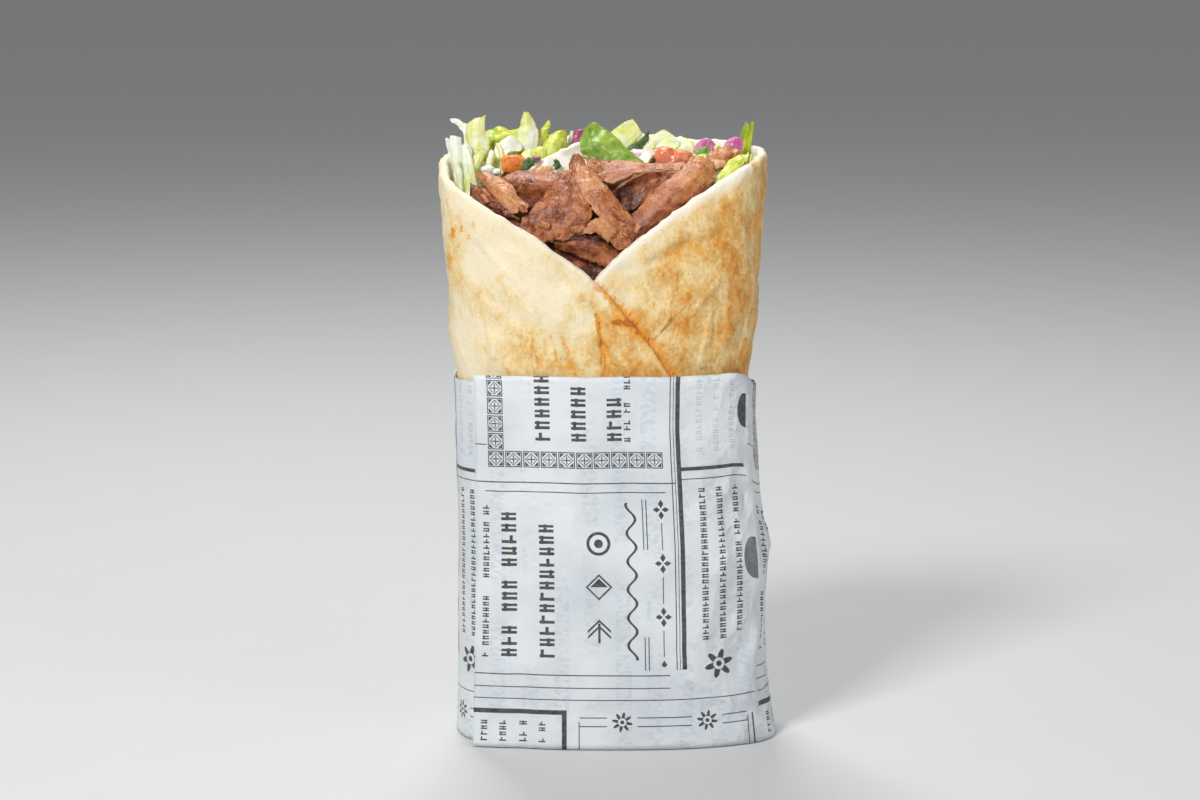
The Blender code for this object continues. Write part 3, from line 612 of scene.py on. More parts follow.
# The folded bottom: a ring of the sheet's lower edge, filled and pressed flat.
FOLD_LOW, FOLD_HIGH = 0.2, 0.7
base_shape = bmesh.new()
ring = []
turn_round = np.linspace(0, ROUND, 90, endpoint=False)
for s in sorted(s if s < paper_start + ROUND else s - ROUND for s in turn_round):
    spot = paper_place((s - paper_start) / (paper_end - paper_start), 0) + SHIFT
    ring.append(base_shape.verts.new((spot.x * MM, spot.y * MM, FOLD_LOW * MM)))
lid = base_shape.faces.new(ring)
raised = bmesh.ops.extrude_face_region(base_shape, geom=[lid])
for vertex in (item for item in raised["geom"] if isinstance(item, bmesh.types.BMVert)):
    vertex.co.z = FOLD_HIGH * MM
bmesh.ops.triangulate(base_shape, faces=base_shape.faces)
bmesh.ops.recalc_face_normals(base_shape, faces=base_shape.faces)
base_mesh = bpy.data.meshes.new("paper_base")
base_shape.to_mesh(base_mesh)
base_shape.free()
paper_base = bpy.data.objects.new("paper_base", base_mesh)
bpy.context.scene.collection.objects.link(paper_base)
paper_base.data.uv_layers.new(name="sheet")
paper = joined("paper_case", [paper, paper_base])

# The print is a pattern of its own in the manner of an old news sheet: rules, a border of tiles, rows of
# short strokes in place of reading matter, and plain ornaments. It repeats every 84 mm round the sheet.
paper_look, paper_shader, at = new_look("greaseproof_paper", Roughness=0.5)
sheet = at.sheet()
s, z = sheet.axis(0) * 1000, sheet.axis(1) * 1000
loose_side = s.between(10, 34) * (1 - s.between(64, 90))  # where the paper is crumpled most
s = s.math("WRAP", 44.0, -40.0)


def near(value, middle, half):
    """1 where value is within half of middle."""
    return value.math("COMPARE", middle, half)


def field(left, right, low, high):
    return near(s, (left + right) / 2, (right - left) / 2) * near(z, (low + high) / 2, (high - low) / 2)


def either(*inks):
    together = inks[0]
    for more in inks[1:]:
        together = together.math("MAXIMUM", more)
    return together


def strokes(line, height, letter, seed):
    """Rows of strokes and bars that run up the sheet, each row `line` apart and as wide as `height`."""
    row, column = (s / line).math("FLOOR"), (z / letter).math("FLOOR")
    across, ahead = (s / line - row) * (line / height), z / letter - column
    key = s.node("CombineXYZ", {}, {0: row, 1: column, 2: float(seed)})
    thrown = key.node("TexWhiteNoise", {}, {0: key}, 1)
    chance = [key.node("SeparateColor", {}, {0: thrown}, k) for k in range(3)]
    stem = near(ahead, 0.27, 0.13)
    second = near(ahead, 0.68, 0.11) * (chance[0] > 0.35)
    beam = near(across, chance[1] * 0.6 + 0.2, 0.09) * near(ahead, 0.48, 0.36)
    return either(stem, second, beam) * (chance[2] > 0.14) * near(across, 0.5, 0.42)


def centred(value, middle, period=0.0):
    """Distance from middle, or from the nearest of the places that follow it at every period."""
    moved = value - middle
    return moved.math("WRAP", period / 2, -period / 2) if period else moved


def distance_of(p, q):
    return (p * p + q * q).math("SQRT")


# Rules and fields: left, right, low, high in millimetres.
RULES = [(-39, 20, 79.6, 79.95), (-36, 17, 76.9, 77.2), (20.6, 21.9, 24, 111), (18.9, 19.2, 24, 111),
         (19.9, 20.1, 24, 111), (21.9, 43, 83.2, 84.3), (21.9, 43, 80.6, 80.9), (-40, 17, 22.2, 22.55),
         (-40, 17, 18.4, 18.7), (-40, 43, 14.8, 15.1), (-40, -13, 10.4, 11.8), (-14.4, -13, 0, 11.8),
         (-9.6, -9.3, 0, 8.4), (39.4, 39.7, 0, 8.4), (41, 41.5, 0, 9), (-40, -35.4, 90.6, 90.9),
         (9.8, 10.1, 60, 75), (10.9, 11.2, 60, 75), (9.8, 10.1, 24, 34), (10.9, 11.2, 24, 34)]
ink = either(*(field(*rule) for rule in RULES))

# Tiles 5.2 mm wide: a frame, a diamond in it, a small cross and filled corners.
p, q = centred(s, -32.6, 5.2).size(), centred(z, 86.6, 5.2).size()
far, both = p.math("MAXIMUM", q), p + q
tile = either(near(far, 2.25, 0.15), near(both, 1.75, 0.16), (both > 2.6) * (far < 1.95),
              (p.math("MINIMUM", q) < 0.16) * (both < 1.3))
ink = either(ink, tile * either(field(-35.2, 16.8, 84, 89.2), field(-35.2, -30, 84, 115)))

# Reading matter: large strokes in the middle, small ones at the left, at the top and in the right panel.
large, small = strokes(10.6, 5.2, 3.4, 1), strokes(5.3, 2.3, 1.7, 2)
ink = either(ink, large * either(field(-32, -11, 27.2, 71.4), field(-22, 5.25, 91.8, 111)),
             small * either(field(26, 41, 32.3, 78.2), field(-38, -32, 25.5, 73.1),
                            field(26, 41, 88.4, 111) * 0.22,
                            field(-40, -16, 1.7, 8.5), field(5.28, 9, 91.8, 111)))

# Four-leaved ornaments on a thin line, a wavy rule, and three plain signs: a ring, a diamond and steps.
p, q = centred(s, 15.4).size(), centred(z, 72, 16).size()
leaves = either(p / 0.8 + (q - 1.7).size() / 1.3 < 1, (p - 1.3).size() / 1.1 + q / 0.8 < 1,
                near(s, 15.4, 0.14) * (q > 4))
wave = (z * 0.75).math("SINE")
ink = either(ink, leaves * field(12, 18.6, 25, 76), near(s, wave * 1.3 + 6.4, 0.42) * field(4, 9, 27, 74))
p, q = centred(s, -3.4), centred(z, 62)
away = distance_of(p, q)
ink = either(ink, near(away, 3.1, 0.45), away < 1.3)
q = centred(z, 49)
ink = either(ink, near(p.size() + q.size(), 3.6, 0.35), (p.size() + q.size() < 2.6) * (q > 0))
q = centred(z, 36)
ink = either(ink, (near(p.size() + q, 3.0, 0.4) + near(p.size() + q, 1.2, 0.4)) * (p.size() < 3.4),
             near(p, 0.0, 0.35) * near(q, -0.8, 3.0))

# Rosettes on a double line at the bottom, a flower in the right panel, and two dark discs at the seam.
def rosette(middle, height, period, radius, petals):
    p, q = centred(s, middle, period), centred(z, height)
    away, turn = distance_of(p, q), p.math("ARCTAN2", q)
    petal_tip = (turn * petals).math("SINE") * (0.3 * radius) + 0.75 * radius
    return either((away < petal_tip) * (away > 0.42 * radius), away < 0.2 * radius)


bottom_line = either(near(z, 9.6, 0.16), near(z, 7.0, 0.16)) * (centred(s, 3.0, 24.4).size() > 4.4)
ink = either(ink, bottom_line * field(-9.3, 39.4, 5, 12),
             rosette(3.0, 8.3, 24.4, 2.9, 8.0) * field(-10, 40, 4, 13),
             rosette(31.5, 25.0, 0, 4.2, 6.0) * (s > 22))
p, q = centred(s, 43.5), centred(z, 100.5)
ink = either(ink, p * p * 3 + q * q < 26)
q = centred(z, 56)
ink = either(ink, (p * p * 3 + q * q < 40) * 0.85)

clouding = at.cloud(24, 3, 0.5)
colour = clouding.between(0.3, 0.7).tint((0.82, 0.85, 0.87), (0.69, 0.73, 0.76))
ghost = sheet.stretched(2.4, 1.2, 1).cloud(1000, 2, 0.5)
rows = near((s / 9).math("FRACT"), 0.4, 0.25)
behind = rows * ghost.between(0.48, 0.56) * at.cloud(22, 1).between(0.4, 0.55)
colour = (behind * 0.4).tint(colour, (0.5, 0.59, 0.7))
fade = at.cloud(1.2, 2) * 0.25 + 0.8
colour = (ink * fade).tint(colour, (0.02, 0.017, 0.015))
colour.feeds(paper_shader, "Base Color")


def facets(wide, high, waver):
    """The flat facets of crumpled paper, about wide by high millimetres, as a height from 0 to 1."""
    bent = (at.cloud(wide, 2) - 0.5) * waver
    cells = sheet.node("Mapping", {}, {0: sheet, 1: bent, 3: (1000 / wide, 1000 / high, 1)})
    return cells.node("TexVoronoi", {}, {"Vector": cells, "Scale": 1.0})


crumpled = facets(20, 30, 0.9) * (loose_side * 0.6 + 0.5) + facets(8, 13, 0.8) * (loose_side * 0.35 + 0.12)
fine = at.cloud(9, 4, 0.6) * 0.75 + at.cloud(2, 2) * 0.25
fine.bump(0.6, crumpled.bump(3.4)).feeds(paper_shader, "Normal")
set_on(paper, ["paper_wrapper"], paper_look)

# ---- Meat: roast meat shaved off a spit in slices about 1 mm thick, torn at their edges, fibrous and wet
# with fat. They are piled from the tip of the V up to the back, over a heap of the same meat that is
# coloured much darker, as painted shade in the gaps between the slices.
def weights(count, t):
    """How much each of count places in a row counts at t from 0 to 1, for a smooth line through them all."""
    k = min(int(t * (count - 1)), count - 2)
    f = t * (count - 1) - k
    row = np.zeros(count)
    for step, part in zip((-1, 0, 1, 2), (2 * f * f - f - f ** 3, 2 - 5 * f * f + 3 * f ** 3,
                                          f + 4 * f * f - 3 * f ** 3, f ** 3 - f * f)):
        row[min(max(k + step, 0), count - 1)] += part / 2
    return row


def thin_piece(net, seed, tone, thick, crumple, folds, tear, frill=0.0, cell=0.45):
    """A thin wavy piece over rows of places in millimetres, its edges torn back at random.

    tone runs from the first row to the last. crumple is the height of the waves and folds their length.
    tear is for the ends and the sides, frill waves the sides, and cell is the size of the mesh's squares.
    """
    net = np.array(net, float)
    long = np.linalg.norm(np.diff(net[:, 1], axis=0), axis=1).sum()
    wide = max(np.linalg.norm(np.diff(row, axis=0), axis=1).sum() for row in net)
    edges, tones = [], []

    def read(u, v):
        return Vector(weights(net.shape[1], v) @ np.tensordot(weights(len(net), u), net, 1))

    def torn(t, length, across, side):
        rough = noise.noise(Vector((t * length / 2.7, seed, side)))
        rough += 0.8 * noise.noise(Vector((t * length / 1.1, seed, side + 5)))
        return max(0.0, tear[side > 2] * (0.35 + 1.1 * rough)) / across

    def place(u, v):
        low, high = torn(v, wide, long, 1), torn(v, wide, long, 2)
        left, right = torn(u, long, wide, 3), torn(u, long, wide, 4)
        edges.append(1 - share(min(u * long, (1 - u) * long, v * wide, (1 - v) * wide), 0, 1.3))
        tones.append(tone[0] + u * (tone[1] - tone[0]))
        u, v = low + u * (1 - low - high), left + v * (1 - left - right)
        point = read(u, v)
        up = (read(min(u + 0.03, 1), v) - read(max(u - 0.03, 0), v)).cross(
            read(u, min(v + 0.05, 1)) - read(u, max(v - 0.05, 0))).normalized()
        spot = point / folds + Vector((seed * 7.3, 0, 0))
        rise = crumple * (noise.noise(spot) + 0.5 * noise.noise(spot * 2.3) + 0.1 * noise.noise(spot * 5.5))
        rise += frill * (2 * v - 1) ** 2 * noise.noise(Vector((u * long / 2.6, round(v), seed)))
        return point + up * rise

    piece = grid_piece("thin_piece", max(5, round(long / cell)), max(5, round(wide / cell)), place)
    for name, values in (("edge", edges), ("tone", tones)):
        piece.data.attributes.new(name, "FLOAT", "POINT").data.foreach_set("value", values)
    for corner in piece.data.uv_layers["sheet"].data:
        corner.uv = (corner.uv.x * long / 1000 + seed * 0.037, corner.uv.y * wide / 1000)
    modify(piece, "SOLIDIFY", thickness=thick * MM, offset=0)
    return piece


HEAP_FOOT = 7
HEAP_CELL = 1.3


def heap(left, right, front, back, top, tone):
    """What lies under the pieces, from front(x) to back and from the bread's floor up to top(x, y)."""
    free_everything()
    columns = round((right - left) / HEAP_CELL)
    rows = round((back - front((left + right) / 2)) / HEAP_CELL)
    bpy.ops.mesh.primitive_grid_add(x_subdivisions=columns, y_subdivisions=rows, size=1)
    piece = bpy.context.object
    piece.data.uv_layers.active.name = "sheet"
    for vertex in piece.data.vertices:
        x = left + (vertex.co.x + 0.5) * (right - left)
        y = front(x) + (vertex.co.y + 0.5) * (back - front(x))
        vertex.co = (Vector((x, y, HEAP_FOOT)) + SHIFT) * MM
    bpy.ops.object.mode_set(mode="EDIT")
    bpy.ops.mesh.select_all(action="SELECT")
    bpy.ops.mesh.extrude_region_move(TRANSFORM_OT_translate={"value": (0, 0, 0.1)})
    bpy.ops.mesh.select_all(action="SELECT")
    bpy.ops.mesh.normals_make_consistent(inside=False)
    bpy.ops.object.mode_set(mode="OBJECT")
    for vertex in piece.data.vertices:
        if vertex.co.z > 2 * HEAP_FOOT * MM:
            vertex.co.z = top(*(vertex.co / MM - SHIFT).to_2d()) * MM
    paint(piece, "edge", lambda x, y, z: 0.0)
    paint(piece, "tone", lambda x, y, z: tone)
    return piece


def front_wall(x):
    """Where the filling's front may be at X, behind both flaps of bread."""
    aside = min(abs((x + 1) / INNER_HALF_WIDTH), 0.99)
    return 6.4 - HALF_DEPTH * (1 - aside ** SQUARENESS) ** (1 / SQUARENESS)


def meat_top(x, y):
    """Rises from the V's tip to the back, with a dark hollow right of the middle."""
    front = min(157.0, 136.0 + 0.62 * abs(x + 3))
    rise = 1 - (1 - share(y, -21, -9)) ** 2
    hollow = 7.0 * hump(x, 7, 5) * hump(y, -14, 4) + (4.0 * share(y, -9, -4) if x < -10 else 0)
    return front + (164.4 - front) * rise - hollow + 1.2 * noise.noise(Vector((x / 3, y / 3, 1)))


# Each slice: rows of places along it (X, Y, Z), how light its first row and its last are, crumple, tear.
SLICES = {
    "middle": ([[(-16.2, -12.5, 165.9), (-11.4, -12, 168.6), (-7.6, -11.5, 170.1)],
                [(-18.7, -15.5, 161.8), (-11.9, -16.5, 164.1), (-5.1, -15.5, 163.9)],
                [(-21.6, -18, 158.3), (-14.2, -19.5, 159), (-4.6, -18.5, 159.3)],
                [(-24.8, -20, 155.4), (-17.3, -22, 155.3), (-4.6, -21, 156.1)],
                [(-25.5, -20.5, 152.3), (-17.3, -22.8, 149), (-6.4, -22.3, 151.5)]], (0.62, 0.42), 1.0, 0.6),
    "ridge": ([[(-9.6, -10.5, 170.4), (-7.8, -11, 170.2), (-5.5, -11, 168.9)],
               [(-9.2, -14.5, 166.5), (-5.7, -15.5, 166.4), (-2.3, -13.5, 165.4)],
               [(-7.6, -18, 162.5), (-3.3, -19, 162.7), (1.3, -16, 162.1)],
               [(-4.6, -20.8, 158.4), (0.4, -21, 158.4), (5.2, -17.8, 157.4)],
               [(-2.3, -22.2, 154.5), (3.1, -22.2, 154.5), (8.5, -19.5, 154.2)],
               [(0.2, -22.6, 149.9), (4, -22.6, 150.4), (7.7, -20.8, 150.7)],
               [(2.9, -22, 146.6), (4.5, -22, 147), (6.3, -21, 148.2)]], (0.85, 0.65), 0.7, 0.7),
    "flap": ([[(-7.6, -23.2, 152.1), (-6.4, -23.4, 153.7), (-4.6, -23, 155.5)],
              [(-5.1, -23.4, 151.7), (-3.9, -23.8, 153.8), (-2.3, -23, 156.4)],
              [(-2.3, -23.2, 151.4), (-1, -23.6, 153.3), (0.2, -22.9, 155.5)],
              [(-0.1, -22.8, 149), (1.3, -23.4, 151), (2.7, -22.9, 152.7)]], (0.85, 0.75), 0.3, 0.5),
    "roll": ([[(-31.2, -10, 165.4), (-30.3, -11.5, 166.6), (-29.8, -12.5, 165.2)],
              [(-26.4, -10, 168), (-26, -14, 165.5), (-26, -13, 161.8)],
              [(-21.4, -10, 167.5), (-21, -14.5, 165.1), (-20.5, -13.5, 161.2)],
              [(-16.2, -10, 167.3), (-15.5, -14.5, 165.5), (-16.4, -14, 162.2)],
              [(-11.4, -10, 168.2), (-11.9, -13.5, 167), (-13.7, -14, 164.1)]], (0.45, 0.55), 0.4, 0.3),
    "strip": ([[(-38.9, -11, 167), (-37.3, -11.5, 168.5), (-35, -10.5, 168.1)],
               [(-36.4, -13, 165.3), (-34.1, -14.5, 166.2), (-31.2, -12.5, 166.3)],
               [(-34.1, -15, 162.4), (-31.2, -16.8, 164.1), (-27.8, -14.8, 163.8)],
               [(-31.9, -17, 159.5), (-28.7, -18.6, 161.7), (-25.5, -16.5, 161.3)],
               [(-28.9, -18.8, 158), (-26, -20, 159.6), (-23, -18, 159.2)],
               [(-27.8, -19.6, 157), (-25.3, -20.4, 157.4), (-23.9, -19.6, 158.1)]], (0.75, 0.85), 0.8, 0.6),
    "under_strip": ([[(-39.1, -13, 163.4), (-37.1, -13.5, 164.4), (-34.6, -12.5, 162.9)],
                     [(-37.5, -14.8, 161.2), (-35, -16, 162.6), (-32.3, -14.5, 160.9)],
                     [(-35, -16.4, 159), (-32.3, -17.4, 160.5), (-29.6, -16, 158.4)],
                     [(-32.3, -17.8, 156.9), (-29.6, -18.8, 158), (-26.4, -17.5, 155.9)],
                     [(-29.1, -19, 154.8), (-26.4, -20, 155.9), (-23.2, -18.8, 153.9)]], (0.5, 0.1), 0.6,
                    0.8),
    "back": ([[(-6.7, -5, 171.5), (-5.7, -9, 169.2), (-3.3, -12, 166.7)],
              [(-1, -4.5, 170.7), (-0.1, -9, 168.3), (1.1, -12.5, 164.5)],
              [(4.9, -4.5, 170.5), (5.8, -9, 168.7), (6.7, -11.5, 167.3)],
              [(11.3, -4.5, 170), (11.7, -8.5, 169.1), (12.2, -10.5, 168.3)],
              [(17.6, -5, 169.6), (18.1, -8, 168.8), (18.6, -9.5, 167.4)],
              [(22.6, -6, 170.5), (23.1, -7.5, 169.8), (23.3, -8.5, 168.6)]], (0.5, 0.75), 0.5, 0.6),
    # The hollow slice is darkest at its first row, down in the cavity. This is partly the meat's darker red
    # and partly painted shade of the cavity.
    "hollow": ([[(0.6, -14.5, 161.4), (2.7, -12.5, 162.9), (4, -12.5, 157.4)],
                [(3.8, -13.5, 164.4), (6.3, -10.5, 163.9), (7.2, -12.5, 156.9)],
                [(8.6, -12, 167.4), (10.4, -10, 164.3), (10.4, -13, 159.3)],
                [(13.1, -11, 168.6), (14.5, -10.5, 165.8), (14, -14, 162.7)],
                [(19.5, -10, 167.5), (19.5, -11, 166.8), (18.1, -14, 165.9)]], (0.05, 0.6), 0.6, 0.4),
    "right": ([[(24.5, -7.5, 172.4), (27.2, -9, 172.4), (30.4, -8, 170.9)],
               [(21.7, -10.5, 169.5), (26.3, -12.8, 168.5), (30.8, -11, 166.3)],
               [(18.1, -13.5, 166.8), (23.1, -16.5, 165), (27.6, -14.8, 162.8)],
               [(13.6, -16, 163.5), (18.6, -19, 161.3), (23.1, -17.5, 158.7)],
               [(9.5, -17.5, 159.2), (14, -20.4, 157.4), (17.6, -19, 154.8)],
               [(6.7, -18, 155.8), (9.9, -20.8, 153.7), (12.6, -20, 150.8)],
               [(5.8, -18.5, 152), (7.2, -20.8, 150.1), (9.5, -20.6, 148.2)]], (0.85, 0.25), 0.5, 0.5),
    "curl": ([[(-16.6, -20.5, 149.3), (-16, -21.4, 148.8), (-15.1, -21, 147.3)],
              [(-11.4, -19.5, 150.4), (-10.7, -22, 148.9), (-9.6, -21, 145.5)],
              [(-6, -19, 150.7), (-5.1, -22.2, 148.5), (-4.6, -21, 143.2)],
              [(-1, -19, 148.8), (-0.5, -22, 146.1), (-1, -20.8, 142)],
              [(3.8, -19.5, 145.4), (2.7, -21.2, 143.9), (1.3, -20.6, 141.9)]], (0.35, 0.5), 0.7, 0.5),
    "tip": ([[(-15.5, -18.5, 146), (-13.7, -20.5, 144.5), (-11.9, -20.5, 142.6)],
             [(-10.1, -18, 144.5), (-9.2, -20.6, 142.6), (-8.2, -20.6, 139.9)],
             [(-4.6, -17.5, 143), (-4.6, -20.2, 140.7), (-4.6, -20.5, 137.5)],
             [(-0.1, -18, 142.2), (-0.5, -19.8, 141.1), (-1.4, -20.2, 139.8)]], (0.0, 0.15), 1.2, 0.7),
    "lump": ([[(-11.4, -9, 166.9), (-9.2, -10, 166.4), (-6.9, -9, 167.3)],
              [(-11.2, -8, 169.9), (-8.9, -9.4, 169.7), (-6.4, -8, 169.9)],
              [(-10.3, -6, 172.4), (-8.9, -6.8, 173.2), (-7.3, -6, 171.9)]], (0.5, 0.55), 0.5, 0.5),
    "pale": ([[(-24.2, -7.5, 166.5), (-20.1, -8, 166.5), (-15.9, -7, 166.8)],
              [(-22.5, -5.5, 167.8), (-19.7, -6, 168), (-16.1, -5, 167.6)],
              [(-20.4, -3.2, 168.5), (-18.5, -3.4, 168.8), (-16.1, -3.2, 168.7)]], (0.8, 0.9), 0.4, 0.4),
}
# The heap's tone of 0.1, darker than any slice, is painted shade: it stands in for the shadow in the gaps
# between the slices.
meat_bits = [heap(-40, 34, front_wall, -3.2, meat_top, 0.1)]
for seed, (net, tone, crumple, tear) in enumerate(SLICES.values(), start=1):
    meat_bits.append(thin_piece(net, seed, tone, thick=0.9, crumple=crumple, folds=5.5,
                                tear=(2.2 * tear, 2.0 * tear)))
meat = joined("meat_heap", meat_bits)

# Small torn bits that stick to the slices: place (X, Z) as the front shows it, length, width, turn in
# degrees.
BITS = [(-8.6, 151.4, 4.5, 1.8, 8), (-18.6, 152.6, 4.0, 1.6, -20), (7.4, 148.6, 3.2, 1.8, 75),
        (5.2, 147.4, 2.8, 1.6, 20), (8.6, 151.5, 3.0, 1.6, 60), (-35.4, 160.4, 3.6, 1.6, -40),
        (4.4, 157.2, 4.2, 1.6, -50), (-24.6, 157, 3, 1.6, -50)]
surface = BVHTree.FromPolygons([vertex.co for vertex in meat.data.vertices],
                               [polygon.vertices for polygon in meat.data.polygons])
meat_bits = [meat]
for seed, (x, z, long, wide, turn) in enumerate(BITS, start=220):
    spot, out, _, _ = surface.ray_cast((Vector((x, -60, z + 8)) + SHIFT) * MM, Vector((0, 1, -0.17)))
    spot = spot / MM - SHIFT + out * 0.25
    ahead = Vector((math.cos(math.radians(turn)), 0, math.sin(math.radians(turn))))
    ahead = (ahead - ahead.dot(out) * out).normalized() * long / 2
    side = ahead.cross(out).normalized() * wide / 2
    rows = [[spot + ahead * a + side * b + out * (0.3 * wide * (1 - b * b)) for b in (-1, 0, 1)]
            for a in (-1, 0, 1)]
    meat_bits.append(thin_piece(rows, seed, (0.5, 0.7), thick=0.6, crumple=0.4, folds=2.5, tear=(0.8, 0.4),
                                cell=0.3))
meat = joined("meat_heap", meat_bits)

meat_look, meat_shader, at = new_look("roast_meat", Specular_IOR_Level=0.6, Subsurface_Weight=0.12,
                                      Subsurface_Scale=0.001)
sheet = at.sheet()
edge = at.painted("edge")
tone = at.painted("tone")
fibres = sheet.stretched(6, 0.9, 1).cloud(1000, 3, 0.6, 1.0)
blotches = at.cloud(6, 3, 0.55, 0.8)
mottling = at.cloud(1.6, 3, 0.6, 0.5)
grains = at.cloud(0.6, 2, 0.7)
light = tone + (fibres - 0.5) * 0.8 + (mottling - 0.5) * 0.6 + (blotches - 0.5) * 1.1
light = light + (grains - 0.5) * 0.5 - 0.04
colour = light.ramp((0, (0.07, 0.01, 0.002)), (0.3, (0.22, 0.045, 0.009)), (0.55, (0.45, 0.13, 0.03)),
                    (0.8, (0.63, 0.26, 0.085)), (1, (0.78, 0.44, 0.22)))
colour = (at.cloud(3.2, 4, 0.6).between(0.5, 0.64) * 0.45).tint(colour, (0.6, 0.26, 0.14))
colour = ((edge + (grains - 0.5) * 1.2).between(0.6, 1.2) * tone.between(0.1, 0.6) * 0.45).tint(
    colour, (0.72, 0.4, 0.22))
colour = (((at.cloud(6, 2) - 0.55) * 6).between(0, 1) * 0.4).tint(colour, (0.5, 0.14, 0.018))
# Small spots that are glossier and slightly raised. On the lighter slices their colour is lightened as a
# painted highlight (painted glints).
glint_specks = at.cloud(0.7, 1, 0.5).between(0.58, 0.72) * (at.cloud(4, 2).between(0.42, 0.58) * 0.8 + 0.2)
colour = (glint_specks * tone.between(0.1, 0.7) * 0.6).tint(colour, (0.9, 0.66, 0.5))
colour.feeds(meat_shader, "Base Color")
(blotches * 0.3 + 0.16 - glint_specks * 0.12).feeds(meat_shader, "Roughness")
(fibres * 0.2 + mottling * 0.15 + grains * 0.4 + glint_specks * 0.2).bump(0.6).feeds(meat_shader, "Normal")
set_on(meat, ["meat"], meat_look)

loose = joined("loose_meat", [
    thin_piece([[(28.9, -4.5, 170.5), (33.4, -5.5, 169.9), (38.4, -4.5, 171)],
                [(29.4, -3.4, 172.2), (33.8, -5, 172.8), (38.2, -3.4, 172.5)],
                [(30.9, 0, 173), (34.5, -0.5, 173.7), (37.4, 0, 173.3)]],
               21, (0.8, 0.7), thick=1.6, crumple=0.8, folds=2.4, tear=(0.9, 0.7)),
    thin_piece([[(29.1, -8, 168.8), (31.6, -8.8, 168.7), (34.1, -8, 169.5)],
                [(28.9, -7.2, 170.2), (31.6, -8.2, 170.2), (34.3, -7.2, 170.6)],
                [(29.1, -5, 171), (31.6, -5.8, 171.2), (34.1, -5, 171.2)]],
               22, (1, 1), thick=0.9, crumple=0.4, folds=3.0, tear=(0.4, 0.4))])
set_on(loose, ["meat_piece"], meat_look)

